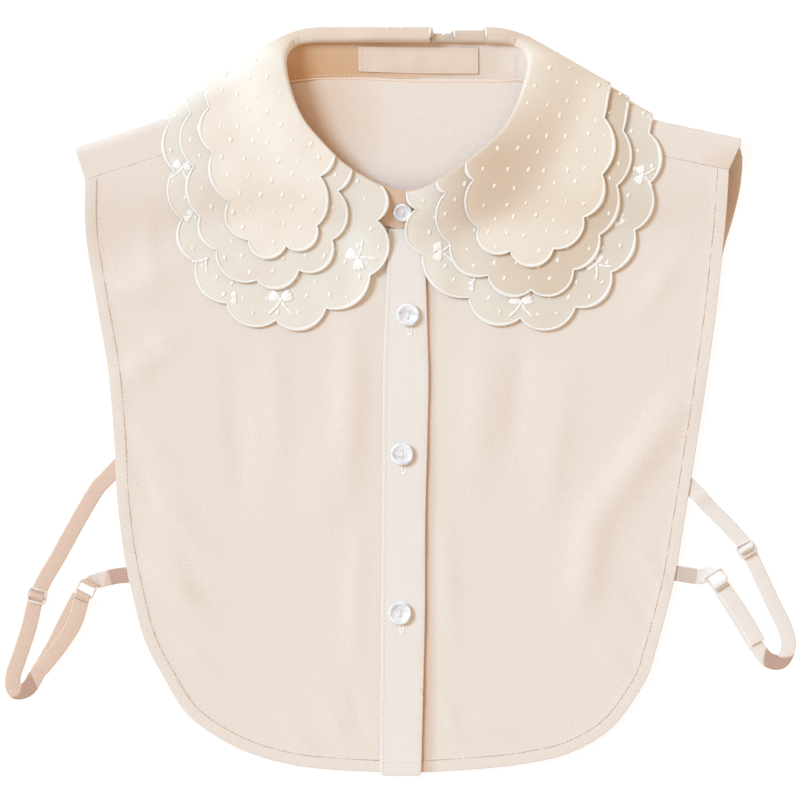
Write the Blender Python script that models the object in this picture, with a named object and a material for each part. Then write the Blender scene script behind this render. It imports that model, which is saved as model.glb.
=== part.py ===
"""Detachable collar laid flat: a bib-shaped false front with a three-layer scalloped collar.

The garment lies on its back. X runs to the right, Y towards the neck, Z up from the surface.
Lengths are in millimetres until a mesh is written. The back panel lies on the surface and comes
over both shoulders, the fronts lie on it, and the collar rolls over the stand: it lies on the
fronts, turns round the shoulders and goes on below the back panel.
"""

import math

import bmesh
import bpy
from mathutils import Vector
from mathutils.geometry import delaunay_2d_cdt

MM = 0.001

# Half of the short step over which slopes are measured
SLOPE_STEP = 0.05

# Cloth
CREPE = 1.2
ORGANZA = 1.0
SEAM_GAP = 0.4
LAYER_PITCH = 1.6
PANEL_STEP = 13.0
COLLAR_STEP = 11.0

# Heights of the middle of each wall
BACK_REST = 0.6
BACK_OVER_COLLAR = 5.2
FRONT_ON_BACK = 1.6
PLACKET_ON_FRONT = 1.6
SHOULDER_TOP = 8.0
COLLAR_BELOW = 3.7

# Shoulders: the fold line of the cloth and the depth of the forward seam below it
SHOULDERS = {
    "left": {"tip": (-162.0, 126.2), "neck": (-60.7, 159.1), "armhole_inset": 0.0},
    "right": {"tip": (170.2, 131.0), "neck": (67.5, 152.5), "armhole_inset": 3.0},
}
SHOULDER_ROLL = 3.4
PAST_NECK = 1.0
SEAM_DEPTH = 16.5
SHOULDER_SLOPE_END = 62.0

# Where the collar's hidden back lifts the back panel
LIFT_Y = (84.0, 116.0)
LIFT_X = (122.0, 152.0)
CENTRE_BACK = 3.0

# The neck, clockwise from centre front: the collar's fold above, the seam of the stand below
NECK_COLUMNS = ("fold_x", "fold_y", "fold_z", "seam_x", "seam_y", "seam_z")
NECK = [
    (2.0, 104.0, 13.2, 2.0, 87.0, 4.8),
    (-24.0, 115.0, 14.2, -27.5, 98.0, 5.0),
    (-43.0, 133.0, 15.5, -49.0, 118.0, 6.6),
    (-52.0, 146.5, 16.5, -58.0, 131.5, 7.6),
    (-58.0, 165.0, 16.5, -61.0, 148.5, 7.8),
    (-57.5, 175.0, 14.0, -59.5, 157.5, 7.2),
    (-49.0, 180.2, 10.0, -51.0, 160.0, 5.6),
    (-30.0, 181.0, 8.4, -30.0, 161.0, 5.1),
    (8.5, 181.0, 8.2, 8.5, 159.5, 5.0),
    (50.0, 180.4, 8.6, 50.0, 159.5, 5.1),
    (60.0, 178.0, 10.5, 61.0, 160.0, 5.8),
    (65.5, 170.5, 14.5, 67.5, 154.0, 7.4),
    (63.0, 158.5, 16.5, 67.0, 142.5, 7.8),
    (57.5, 144.5, 16.5, 62.0, 129.5, 7.6),
    (48.5, 131.0, 15.5, 52.5, 115.5, 6.6),
    (26.0, 113.5, 14.2, 30.0, 97.0, 5.0),
]
STAND_INSET = 0.8
STAND_DROP = 0.95
STAND_OVER_END = -0.4
STAND_UNDER_END = 16.3
STAND_PIECES = 66
STAND_WALL = 1.0
UNDER_END_DROP = 1.8
UNDER_END_RAMP = (14.6, 15.4)

# The line round which the collar turns from the front to below the back
TURN_TOP = 183.2
TURN_CORNERS = {"left": (-50.75, 183.2), "right": (55.0, 183.2)}
TURN_ENDS = {"left": (-114.2, 144.1), "right": (126.5, 143.0)}
TURN_RADIUS = 42.0
TURN_STRETCH = 3.6
TURN_DEPTH = (2.0, 5.0)
TURN_DEPTH_X = (47.0, 97.0)
TURN_ROWS = (-5.0, -3.0, -1.0, 1.0, 3.0, 5.0, 7.0, 9.5)
TURN_EDGE_STEP = 1.8
TURN_SPREAD = 3.0
EDGE_CLEAR = 1.2
FALL_LENGTH = 34.0
FALL_REST = 1.9
PLACKET_REST = 1.4
PLACKET_HALF = (15.0, 30.0)
BELOW_LEAN = 0.5

# Soft folds pressed into the fronts: ridges that rise and fade along a line
RIDGE_COLUMNS = ("from_x", "from_y", "to_x", "to_y", "half_width", "height")
RIDGES = [
    (-24.0, 42.0, -27.0, -48.0, 8.0, 1.7),
    (-40.0, -20.0, -38.0, -66.0, 9.0, 0.8),
    (141.0, 2.0, 96.0, -62.0, 9.5, 2.3),
    (98.0, -58.0, 90.0, -104.0, 8.5, 1.9),
    (44.0, 34.0, 36.0, -42.0, 9.0, 1.1),
    (-139.0, -34.0, -96.0, -70.0, 8.0, 1.2),
    (-132.0, -82.0, -92.0, -96.0, 8.0, 1.1),
    (-148.0, 52.0, -110.0, 66.0, 7.0, 1.0),
    (-144.0, 6.0, -112.0, 32.0, 7.0, 1.0),
    (-116.0, -46.0, -106.0, -100.0, 9.0, 0.9),
]

# Outer edges of the panels, from the armhole down to the placket
LEFT_SIDE = [
    (-157.4, 109.8), (-156.8, 84.0), (-151.6, 50.0), (-145.6, 15.0), (-142.6, -20.0),
    (-141.0, -50.0), (-137.8, -76.0), (-133.0, -99.0), (-127.6, -119.0), (-118.5, -137.0),
    (-105.0, -157.5), (-82.0, -172.6), (-58.0, -180.6), (-34.0, -183.8), (-5.0, -185.2),
]
RIGHT_SIDE = [
    (163.0, 112.0), (162.6, 93.0), (160.6, 72.0), (157.6, 44.0), (151.6, 2.0),
    (146.6, -30.0), (141.6, -61.0), (136.4, -91.0), (127.4, -125.0), (121.6, -141.0),
    (105.6, -163.0), (85.0, -175.4), (61.5, -181.0), (37.5, -183.6), (11.0, -185.2),
]
BACK_RIGHT_ARMHOLE = [(170.6, 129.4), (171.6, 122.0), (170.6, 108.0), (167.0, 92.0), (161.4, 72.0)]
BACK_INSET = 0.6
BACK_JOIN = {"left": 1, "right": 2}

# Placket
PLACKET_COLUMNS = ("y", "left_x", "right_x")
PLACKET = [
    (86.0, -5.6, 12.4), (64.0, -6.2, 12.6), (30.0, -7.6, 13.6), (10.0, -8.0, 14.0),
    (-20.0, -8.4, 13.4), (-60.0, -8.6, 12.4), (-105.0, -9.0, 12.2), (-150.0, -9.4, 11.2),
    (-184.0, -9.6, 10.4),
]
PLACKET_FOOT = -186.6
FOOT_INSET = 0.8
PLACKET_TOP = 85.4
FRONT_FOOT = -185.0
LEFT_FRONT_EDGE = -5.4
UNDER_PLACKET_EDGES = (-5.0, 9.6)
RIGHT_FRONT_EDGE = 10.0

# Buttons: two holes, a raised rim and a dished middle
BUTTON_RADIUS = 5.75
BAND_BUTTON_RADIUS = 4.75
BUTTON_THICKNESS = 2.2
BAND_BUTTON_THICKNESS = 1.7
BUTTON_SIDES = 20
HOLE_RADIUS = 0.85
HOLE_SPREAD = 1.7
BUTTON_PLACES = [("button_upper", 4.0, 43.0), ("button_middle", 1.0, -26.5), ("button_lower", 0.0, -106.0)]
BAND_BUTTON_PLACE = 0.02
BAND_BUTTON_UP = 0.42

# Label, as stretches of the stand
LABEL_SPAN = (7.28, 8.68)
LABEL_UP = (0.2, 0.82)
LABEL_THICKNESS = 1.0
LABEL_PIECES = 7
LABEL_GAP = 0.35

# Collar layers: cusps between scallops and how far each scallop bulges beyond its chord
SCALLOP_COLUMNS = ("cusp_x", "cusp_y", "bulge")
LAYERS = {
    "collar_under_left": {
        "level": 0, "fold": (0.42, 8.12), "side": -1,
        "cusps": [
            (-11.5, 90.0, 7.5), (-15.0, 63.0, 6.5), (-37.0, 46.5, 7.5), (-62.0, 40.5, 7.0),
            (-86.5, 49.0, 6.0), (-101.5, 69.5, 5.5), (-108.5, 91.0, 5.0), (-112.5, 115.0, 4.5),
            (-114.5, 138.5, 4.0),
        ],
        "first_bulge": 4.0, "beyond": (115.2, 93.0), "back_scallops": 7,
    },
    "collar_middle_left": {
        "level": 1, "fold": (1.0, 8.115), "side": -1,
        "cusps": [
            (-31.0, 105.0, 6.5), (-34.0, 80.5, 7.5), (-50.5, 65.5, 6.5), (-71.5, 60.5, 7.0),
            (-91.5, 75.5, 4.0), (-99.5, 92.5, 5.0), (-102.5, 117.0, 6.0), (-104.0, 143.0, 4.0),
        ],
        "first_bulge": 1.5, "beyond": (105.0, 82.0), "back_scallops": 6,
    },
    "collar_top_left": {
        "level": 2, "fold": (1.4, 8.11), "side": -1,
        "cusps": [
            (-39.5, 112.5, 5.0), (-41.5, 88.0, 7.0), (-57.0, 77.5, 7.5), (-75.5, 80.5, 6.0),
            (-85.0, 100.5, 5.0), (-93.0, 124.0, 5.5), (-95.0, 146.0, 3.0),
        ],
        "first_bulge": 1.5, "beyond": (96.0, 71.0), "back_scallops": 5,
    },
    "collar_under_right": {
        "level": 0, "fold": (15.94, 8.185), "side": 1,
        "cusps": [
            (8.5, 95.5, 7.0), (11.5, 73.5, 7.5), (34.5, 52.0, 8.0), (60.0, 41.5, 8.5),
            (87.5, 47.0, 6.5), (105.5, 64.5, 4.5), (117.0, 85.5, 5.5), (124.0, 108.5, 6.0),
            (124.0, 133.5, 3.0),
        ],
        "first_bulge": 1.5, "beyond": (123.0, 93.0), "back_scallops": 7,
    },
    "collar_middle_right": {
        "level": 1, "fold": (15.31, 8.42), "side": 1,
        "cusps": [
            (23.0, 104.0, 6.0), (25.0, 79.0, 7.0), (44.0, 63.0, 6.5), (65.5, 55.5, 7.5),
            (86.5, 65.5, 4.5), (99.5, 83.0, 4.5), (108.0, 107.5, 5.5), (111.0, 134.5, 4.0),
        ],
        "first_bulge": 1.5, "beyond": (109.0, 82.0), "back_scallops": 6,
    },
    "collar_top_right": {
        "level": 2, "fold": (14.7, 8.79), "side": 1,
        "cusps": [
            (36.5, 110.5, 5.5), (39.0, 87.5, 7.0), (55.0, 75.0, 8.0), (76.5, 76.0, 5.5),
            (91.5, 92.5, 5.0), (100.5, 113.0, 5.5), (101.5, 141.0, 3.0),
        ],
        "first_bulge": 1.5, "beyond": (101.5, 71.0), "back_scallops": 5,
    },
}
BEYOND_CENTRE_Y = 150.0
SCALLOP_SEGMENTS = 5
FOLD_PIECES = 4
BACK_BULGE = 5.0
END_BULGE = 1.0
END_SCALLOPS = 2

# Straps: elastic tape that lies on the surface, as routes (x, y, z) of its centre line
TAPE_WIDTH = 7.0
TAPE = 1.0
STRAPS = {
    "left": {
        "strap": [
            (-144.4, -36.2, 1.8), (-147.2, -39.2, 1.3), (-152.2, -44.9, 0.6), (-161.8, -61.2, 0.5),
            (-170.8, -77.6, 0.5), (-178.2, -90.3, 0.5), (-182.4, -100.0, 0.5), (-185.5, -113.0, 0.5),
            (-190.0, -127.0, 0.5), (-193.6, -138.0, 0.5), (-192.4, -145.0, 0.5), (-186.0, -143.6, 0.5),
            (-180.8, -135.3, 0.5), (-173.6, -123.4, 0.5), (-166.9, -109.9, 0.5), (-160.4, -97.4, 0.5),
        ],
        "return": [
            (-179.5, -134.0, 1.9), (-170.5, -123.0, 1.9), (-162.9, -111.1, 1.9), (-156.6, -97.6, 1.9),
        ],
        "tab": [(-136.7, -86.9, 2.2), (-142.0, -87.5, 1.4), (-149.5, -89.2, 1.5), (-155.4, -90.9, 1.8)],
        "slider": {"centre": (-181.4, -97.4), "toward": (-185.4, -113.0)},
        "ring": {"centre": (-156.9, -93.9), "toward": (-165.4, -110.8)},
    },
    "right": {
        "strap": [
            (147.3, -45.2, 2.2), (150.0, -48.0, 1.6), (155.0, -53.6, 0.6), (164.0, -62.5, 0.5),
            (172.5, -72.5, 0.5), (179.0, -85.5, 0.5), (186.0, -100.5, 0.5), (192.0, -113.0, 0.5),
            (194.0, -122.5, 0.5), (190.4, -130.0, 0.5), (183.4, -129.0, 0.5), (177.0, -121.0, 0.5),
            (171.5, -112.0, 0.5), (165.6, -102.5, 0.5), (158.8, -91.6, 0.5),
        ],
        "return": [(178.6, -120.6, 1.9), (173.4, -111.4, 1.9), (167.6, -102.2, 1.9), (160.3, -91.0, 1.9)],
        "tab": [(138.2, -86.1, 2.2), (143.0, -86.8, 1.4), (149.5, -87.7, 1.5), (155.6, -88.6, 1.8)],
        "slider": {"centre": (173.0, -74.0), "toward": (179.0, -85.5)},
        "ring": {"centre": (158.2, -88.6), "toward": (167.2, -102.2)},
    },
}
TAPE_STEP = 7.0
FRAME_HALF = (5.0, 4.0)
FRAME_CORNER = 1.6
FRAME_WIRE = 1.4
FRAME_HEIGHT = 1.5
SLIDER_BASE = 1.4
RING_BASE = 2.7

COLOURS = {
    "crepe": (0.83, 0.72, 0.64, 1.0),
    "organza": (0.90, 0.80, 0.70, 1.0),
    "pearl": (0.86, 0.85, 0.84, 1.0),
    "tape": (0.74, 0.50, 0.38, 1.0),
    "clear": (0.92, 0.88, 0.86, 1.0),
    "label": (0.80, 0.62, 0.50, 1.0),
}
ROUGHNESS = {"crepe": 0.85, "organza": 0.6, "pearl": 0.25, "tape": 0.75, "clear": 0.15, "label": 0.7}


def clear_scene():
    for obj in list(bpy.data.objects):
        bpy.data.objects.remove(obj, do_unlink=True)


def material(name):
    found = bpy.data.materials.get(name)
    if found:
        return found
    made = bpy.data.materials.new(name)
    made.use_nodes = True
    shader = made.node_tree.nodes["Principled BSDF"]
    shader.inputs["Base Color"].default_value = COLOURS[name]
    shader.inputs["Roughness"].default_value = ROUGHNESS[name]
    return made


def smooth(value, low, high):
    """0 below low, 1 above high, with soft ends."""
    t = min(max((value - low) / (high - low), 0.0), 1.0)
    return t * t * (3.0 - 2.0 * t)


def through(rows, t, closed=False):
    """A point at row number t on the smooth curve through the rows."""
    count = len(rows)
    if not closed:
        t = min(max(t, 0.0), count - 1.0)
    index = math.floor(t)
    if not closed:
        index = min(index, count - 2)
    f = t - index

    def row(i):
        if closed:
            return rows[i % count]
        return rows[min(max(i, 0), count - 1)]

    before, start, end, after = row(index - 1), row(index), row(index + 1), row(index + 2)
    return tuple(
        0.5 * (2 * b + (c - a) * f + (2 * a - 5 * b + 4 * c - d) * f * f
               + (3 * b - a - 3 * c + d) * f ** 3)
        for a, b, c, d in zip(before, start, end, after)
    )


def curve(rows, step):
    """Points about a step apart on the smooth curve through the rows."""
    points = []
    for i in range(len(rows) - 1):
        length = math.dist(rows[i], rows[i + 1])
        pieces = max(1, round(length / step))
        points += [through(rows, i + k / pieces) for k in range(pieces)]
    return points + [tuple(rows[-1])]


def line(start, end, step):
    """Points about a step apart on a straight line, without its end."""
    pieces = max(1, round(math.dist(start, end) / step))
    return [tuple(a + (b - a) * k / pieces for a, b in zip(start, end)) for k in range(pieces)]


# Neck rings


def neck(t):
    return dict(zip(NECK_COLUMNS, through(NECK, t, closed=True)))


def fold_point(t):
    row = neck(t)
    return Vector((row["fold_x"], row["fold_y"], row["fold_z"]))


def seam_point(t):
    row = neck(t)
    return Vector((row["seam_x"], row["seam_y"], row["seam_z"]))


def outward(point_at, t):
    """The level direction away from the neck opening at row number t."""
    ahead = point_at(t + SLOPE_STEP) - point_at(t - SLOPE_STEP)
    return Vector((-ahead.y, ahead.x, 0.0)).normalized()


FOLD_SAMPLES = 16
FOLD_RING = [fold_point(k / FOLD_SAMPLES) for k in range(FOLD_SAMPLES * len(NECK))]


def nearest_fold(x, y):
    """Distance in plan to the collar's fold, and the height of the fold there."""
    best = min(FOLD_RING, key=lambda p: (p.x - x) ** 2 + (p.y - y) ** 2)
    return math.hypot(best.x - x, best.y - y), best.z


# Shoulders and heights of the panels


class Shoulder:
    """The straight line over which the back panel comes to the front."""

    def __init__(self, tip, neck_end, sign):
        self.tip = Vector(tip)
        self.along = (Vector(neck_end) - self.tip).normalized()
        self.out = Vector((-self.along.y, self.along.x)) * sign
        self.reach = (Vector(neck_end) - self.tip).length + PAST_NECK

    def measure(self, x, y):
        offset = Vector((x, y)) - self.tip
        return offset.dot(self.along), offset.dot(self.out)

    def at(self, along, out):
        return self.tip + self.along * along + self.out * out

    def unrolled(self, x, y):
        """Where a point of the top strip lies when the back panel is opened out."""
        along, out = self.measure(x, y)
        return self.at(along, math.pi * SHOULDER_ROLL - 2.0 * SHOULDER_ROLL - out)


LEFT_SHOULDER = Shoulder(SHOULDERS["left"]["tip"], SHOULDERS["left"]["neck"], 1.0)
RIGHT_SHOULDER = Shoulder(SHOULDERS["right"]["tip"], SHOULDERS["right"]["neck"], -1.0)


def shoulder_near(x):
    return LEFT_SHOULDER if x < CENTRE_BACK else RIGHT_SHOULDER


def ridges(x, y):
    total = 0.0
    for row in RIDGES:
        fold = dict(zip(RIDGE_COLUMNS, row))
        start = Vector((fold["from_x"], fold["from_y"]))
        run = Vector((fold["to_x"], fold["to_y"])) - start
        offset = Vector((x, y)) - start
        t = min(max(offset.dot(run) / run.length_squared, 0.0), 1.0)
        distance = (offset - run * t).length
        fade = math.sin(math.pi * (0.12 + 0.76 * t))
        total += fold["height"] * fade * math.exp(-((distance / fold["half_width"]) ** 2))
    return total


def back_height(x, y):
    lift = smooth(y, *LIFT_Y) * (1.0 - smooth(abs(x - CENTRE_BACK), *LIFT_X))
    return BACK_REST + (BACK_OVER_COLLAR - BACK_REST) * lift


def front_height(x, y):
    below_line = -shoulder_near(x).measure(x, y)[1]
    rise = 1.0 - smooth(below_line, SEAM_DEPTH + 2.0, SHOULDER_SLOPE_END)
    resting = back_height(x, y) + FRONT_ON_BACK
    return resting + (SHOULDER_TOP - resting) * rise + ridges(x, y)


def placket_height(x, y):
    return front_height(x, y) + PLACKET_ON_FRONT


def back_surface(x, y):
    """The back panel opened out flat, folded over both shoulders."""
    for shoulder in (LEFT_SHOULDER, RIGHT_SHOULDER):
        along, out = shoulder.measure(x, y)
        if out <= -SHOULDER_ROLL or along > shoulder.reach or y < 100.0:
            continue
        angle = (out + SHOULDER_ROLL) / SHOULDER_ROLL
        start = shoulder.at(along, -SHOULDER_ROLL)
        low = back_height(*start)
        if angle <= math.pi:
            place = shoulder.at(along, -SHOULDER_ROLL + SHOULDER_ROLL * math.sin(angle))
            high = front_height(*start)
            middle, half = (high + low) / 2.0, (high - low) / 2.0
            return Vector((place.x, place.y, middle - half * math.cos(angle)))
        place = shoulder.at(along, math.pi * SHOULDER_ROLL - 2.0 * SHOULDER_ROLL - out)
        return Vector((place.x, place.y, front_height(place.x, place.y)))
    return Vector((x, y, back_height(x, y)))


# The collar's base surface, which the under layer follows


class Turn:
    """Nearest place on the line round which the collar turns to the back."""

    def __init__(self):
        self.sides = {}
        for side, corner in TURN_CORNERS.items():
            corner = Vector(corner)
            along = (Vector(TURN_ENDS[side]) - corner).normalized()
            sign = -1.0 if side == "left" else 1.0
            out = Vector((-along.y, along.x)) * sign
            half = math.atan2(abs(out.x), out.y) / 2.0
            tangent = TURN_RADIUS * math.tan(half)
            centre = Vector((corner.x - sign * tangent, corner.y - TURN_RADIUS))
            self.sides[side] = {
                "corner": corner, "along": along, "out": out, "centre": centre, "sign": sign,
            }

    def find(self, x, y):
        """Foot on the line, outward direction and distance beyond it."""
        place = Vector((x, y))
        side = self.sides["left" if x < CENTRE_BACK else "right"]
        offset = place - side["centre"]
        top_gap = y - TURN_TOP
        side_gap = (place - side["corner"]).dot(side["out"])
        beyond_side = offset.dot(side["along"]) > 0.0
        beyond_top = offset.x * side["sign"] < 0.0
        if beyond_side and (not beyond_top or side_gap > top_gap):
            return place - side["out"] * side_gap, side["out"], side_gap
        if beyond_top:
            return Vector((x, TURN_TOP)), Vector((0.0, 1.0)), top_gap
        out = offset.normalized()
        return side["centre"] + out * TURN_RADIUS, out, offset.length - TURN_RADIUS


TURN = Turn()


def fall_height(x, y):
    """Height of the under layer where it lies over the stand, the shoulders and the fronts."""
    distance, fold_z = nearest_fold(x, y)
    over_placket = PLACKET_REST * (1.0 - smooth(abs(x - 2.0), *PLACKET_HALF))
    rest = front_height(x, y) + FALL_REST + over_placket
    share = min(distance / FALL_LENGTH, 1.0)
    roll = 0.5 + 0.5 * math.cos(math.pi * share)
    return rest + max(fold_z - rest, 0.0) * roll


def collar_surface(x, y):
    """The under layer opened out flat beyond the turn, folded round it."""
    foot, out, beyond = TURN.find(x, y)
    across = smooth(abs(foot.x - CENTRE_BACK), *TURN_DEPTH_X)
    depth = TURN_DEPTH[0] + (TURN_DEPTH[1] - TURN_DEPTH[0]) * across
    if beyond <= -depth:
        return Vector((x, y, fall_height(x, y)))
    start = foot - out * depth
    high = fall_height(*start)
    middle, half = (high + COLLAR_BELOW) / 2.0, (high - COLLAR_BELOW) / 2.0
    angle = (beyond + depth) / TURN_STRETCH
    if angle <= math.pi:
        place = start + out * depth * math.sin(angle)
        return Vector((place.x, place.y, middle + half * math.cos(angle)))
    lean = math.atan2(out.x, out.y) * BELOW_LEAN
    inward = Vector((-math.sin(lean), -math.cos(lean)))
    place = start + inward * (beyond + depth - math.pi * TURN_STRETCH)
    return Vector((place.x, place.y, COLLAR_BELOW))


# Cloth walls


def normal_of(surface, x, y):
    across = surface(x + SLOPE_STEP, y) - surface(x - SLOPE_STEP, y)
    up = surface(x, y + SLOPE_STEP) - surface(x, y - SLOPE_STEP)
    return across.cross(up).normalized()


def inside(outline, x, y):
    within = False
    for (ax, ay), (bx, by) in zip(outline, outline[1:] + outline[:1]):
        if (ay > y) != (by > y) and x < (bx - ax) * (y - ay) / (by - ay) + ax:
            within = not within
    return within


def edge_distance(outline, x, y):
    place = Vector((x, y))
    best = 1e9
    for a, b in zip(outline, outline[1:] + outline[:1]):
        start, run = Vector(a), Vector(b) - Vector(a)
        t = min(max((place - start).dot(run) / max(run.length_squared, 1e-9), 0.0), 1.0)
        best = min(best, (place - start - run * t).length)
    return best


def grid(step):
    """Points of a triangular grid that covers the garment, opened out."""
    row_step = step * math.sqrt(0.75)
    rows = int(470.0 / row_step)
    columns = int(380.0 / step)
    for j in range(rows):
        for i in range(columns):
            yield -190.0 + step * (i + 0.5 * (j % 2)), -190.0 + row_step * j


def add_object(name, mesh_points, faces, finish):
    mesh = bpy.data.meshes.new(name)
    mesh.from_pydata([tuple(v * MM for v in p) for p in mesh_points], [], faces)
    mesh.materials.append(material(finish))
    shape = bmesh.new()
    shape.from_mesh(mesh)
    bmesh.ops.recalc_face_normals(shape, faces=shape.faces)
    bmesh.ops.triangulate(shape, faces=shape.faces)
    shape.to_mesh(mesh)
    shape.free()
    mesh.shade_smooth()
    mesh.set_sharp_from_angle(angle=math.radians(40))
    obj = bpy.data.objects.new(name, mesh)
    bpy.context.scene.collection.objects.link(obj)
    return obj


def cloth_wall(name, outline, inner, surface, level, thickness, finish, clear=2.6, spread=None):
    """A wall of cloth: the outline and inner points, lifted to the surface and given thickness."""
    inner = [p for p in inner if inside(outline, *p) and edge_distance(outline, *p) > clear]
    points = [Vector(p) for p in outline] + [Vector(p) for p in inner]
    laid = [spread(*p) for p in points] if spread else points
    loop = list(range(len(outline)))
    _, _, triangles, origins, _, _ = delaunay_2d_cdt(laid, [], [loop], 1, 1e-5)
    points = [points[origin[0]] for origin in origins]
    upper, lower = [], []
    for x, y in points:
        place = surface(x, y)
        out = normal_of(surface, x, y)
        upper.append(place + out * (level + thickness / 2.0))
        lower.append(place + out * (level - thickness / 2.0))
    count = len(points)
    faces = []
    used = {}
    for a, b, c in triangles:
        if (points[b] - points[a]).cross(points[c] - points[a]) < 0.0:
            b, c = c, b
        faces.append((a, b, c))
        faces.append((a + count, c + count, b + count))
        for start, end in ((a, b), (b, c), (c, a)):
            used[(start, end)] = True
    for start, end in used:
        if (end, start) not in used:
            faces.append((end, start, start + count, end + count))
    return add_object(name, upper + lower, faces, finish)


def plain_surface(height):
    return lambda x, y: Vector((x, y, height(x, y)))


# Panels


def side_edge(rows, inset=0.0):
    """A side edge from the armhole to the placket, optionally drawn in."""
    points = curve(rows, PANEL_STEP)
    if not inset:
        return points
    pulled = []
    for i, (x, y) in enumerate(points):
        ahead = Vector(points[min(i + 1, len(points) - 1)]) - Vector(points[max(i - 1, 0)])
        inner = Vector((-ahead.y, ahead.x)).normalized() * inset
        if inner.x * x > 0.0 or (abs(x) < 60.0 and inner.y < 0.0):
            inner = -inner
        pulled.append((x + inner.x, y + inner.y))
    return pulled


def neck_edge(start, end, gap, pieces):
    """The panels' edge along the stand's seam, a gap outside it."""
    edge = []
    for k in range(pieces + 1):
        t = start + (end - start) * k / pieces
        place = seam_point(t) + outward(seam_point, t) * gap
        edge.append((place.x, place.y))
    return edge


def seam_ends(shoulder, inset, neck_end):
    """Ends of the forward seam: at the armhole, and at the neck."""
    armhole = shoulder.at(inset, -SEAM_DEPTH)
    along = shoulder.measure(*neck_end)[0]
    return tuple(armhole), tuple(shoulder.at(along, -SEAM_DEPTH))


NECK_SEAM_ROWS = {"left": 3.62, "right": 12.3}
NECK_ROLL_ROWS = {"left": 4.7, "right": 11.2}
STAND_CLEAR = 1.0
FRONT_NECK_Y = 86.5
FRONT_NECK_PIECES = 14
BACK_NECK_ROWS = (10.5, 5.5)
BACK_NECK_PIECES = 12
BACK_NECK_GAP = 0.5
ROLL_STEP = 2.4
ROLL_ROWS = 6
ROLL_COLUMNS = 12
ROLL_PITCH = 9.0


def front_panel(name, side, rows, centre_x, centre_top_row):
    shoulder = LEFT_SHOULDER if side == "left" else RIGHT_SHOULDER
    inset = SHOULDERS[side]["armhole_inset"]
    edge = neck_edge(NECK_SEAM_ROWS[side], centre_top_row, STAND_CLEAR, FRONT_NECK_PIECES)
    top = seam_ends(shoulder, inset, edge[0])
    below = shoulder.out * -SEAM_GAP
    outer = (top[0][0] + below.x, top[0][1] + below.y)
    inner = (top[1][0] + below.x, top[1][1] + below.y)
    edge = [p for p in edge if shoulder.measure(*p)[1] < -SEAM_DEPTH - 3.0]
    edge = [p for p in edge if (p[0] - centre_x) * (1.0 if side == "right" else -1.0) > 3.0]
    sides = side_edge([outer] + rows[1:])
    foot = (centre_x, rows[-1][1])
    head = (centre_x, FRONT_NECK_Y)
    outline = sides[:-1] + line(foot, head, PANEL_STEP)
    outline += [head] + edge[::-1] + line(inner, outer, PANEL_STEP)
    return cloth_wall(name, outline, grid(PANEL_STEP), plain_surface(front_height), 0.0, CREPE, "crepe")


def back_panel():
    outline = []
    left = side_edge([(-161.0, 122.6), (-157.6, 109.8)] + LEFT_SIDE[BACK_JOIN["left"]:], BACK_INSET)
    right = side_edge(BACK_RIGHT_ARMHOLE + RIGHT_SIDE[BACK_JOIN["right"] + 1:], BACK_INSET)
    outline += right[::-1][:-1]
    outline = left[:-1] + outline
    for side, shoulder in (("right", RIGHT_SHOULDER), ("left", LEFT_SHOULDER)):
        inset = SHOULDERS[side]["armhole_inset"]
        strip = neck_edge(NECK_SEAM_ROWS[side], NECK_ROLL_ROWS[side], STAND_CLEAR, 3)
        armhole, inner = seam_ends(shoulder, inset, strip[0])
        strip = [p for p in strip if -SEAM_DEPTH + 2.0 < shoulder.measure(*p)[1] < -SHOULDER_ROLL - 1.0]
        neck_along = shoulder.measure(*strip[-1])[0]
        far = math.pi * SHOULDER_ROLL - SHOULDER_ROLL
        path = line(shoulder.at(0.0, -SHOULDER_ROLL), shoulder.at(0.0, far), ROLL_STEP)
        path += line(shoulder.at(0.0, far), shoulder.unrolled(*armhole), PANEL_STEP)
        path += line(shoulder.unrolled(*armhole), shoulder.unrolled(*inner), PANEL_STEP)
        path += [tuple(shoulder.unrolled(*inner))]
        path += [tuple(shoulder.unrolled(*p)) for p in strip]
        path += line(shoulder.at(neck_along, far), shoulder.at(neck_along, -SHOULDER_ROLL), ROLL_STEP)
        path += [tuple(shoulder.at(neck_along, -SHOULDER_ROLL))]
        outline += path if side == "right" else path[::-1]
        if side == "right":
            for k in range(BACK_NECK_PIECES + 1):
                t = BACK_NECK_ROWS[0] + (BACK_NECK_ROWS[1] - BACK_NECK_ROWS[0]) * k / BACK_NECK_PIECES
                place = seam_point(t)
                outline.append((place.x, place.y - BACK_NECK_GAP))
    inner = list(grid(2.0 * PANEL_STEP))
    lifted = [p for p in grid(PANEL_STEP) if p[1] > LIFT_Y[0] - 10.0]
    inner = [p for p in inner if p[1] <= LIFT_Y[0] - 10.0] + lifted
    kept = []
    for x, y in inner:
        outs = [s.measure(x, y)[1] for s in (LEFT_SHOULDER, RIGHT_SHOULDER)]
        if max(outs) < -SHOULDER_ROLL - 2.5 or y < 100.0:
            kept.append((x, y))
    for shoulder in (LEFT_SHOULDER, RIGHT_SHOULDER):
        for row in range(ROLL_ROWS + 1):
            out = -SHOULDER_ROLL + math.pi * SHOULDER_ROLL * row / ROLL_ROWS
            kept += [tuple(shoulder.at(6.0 + ROLL_PITCH * k, out)) for k in range(ROLL_COLUMNS)]
        beyond = math.pi * SHOULDER_ROLL + 3.0
        kept += [tuple(shoulder.at(10.0 + ROLL_PITCH * k, beyond)) for k in range(ROLL_COLUMNS)]
    return cloth_wall("back_panel", outline, kept, back_surface, 0.0, CREPE, "crepe")


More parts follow.
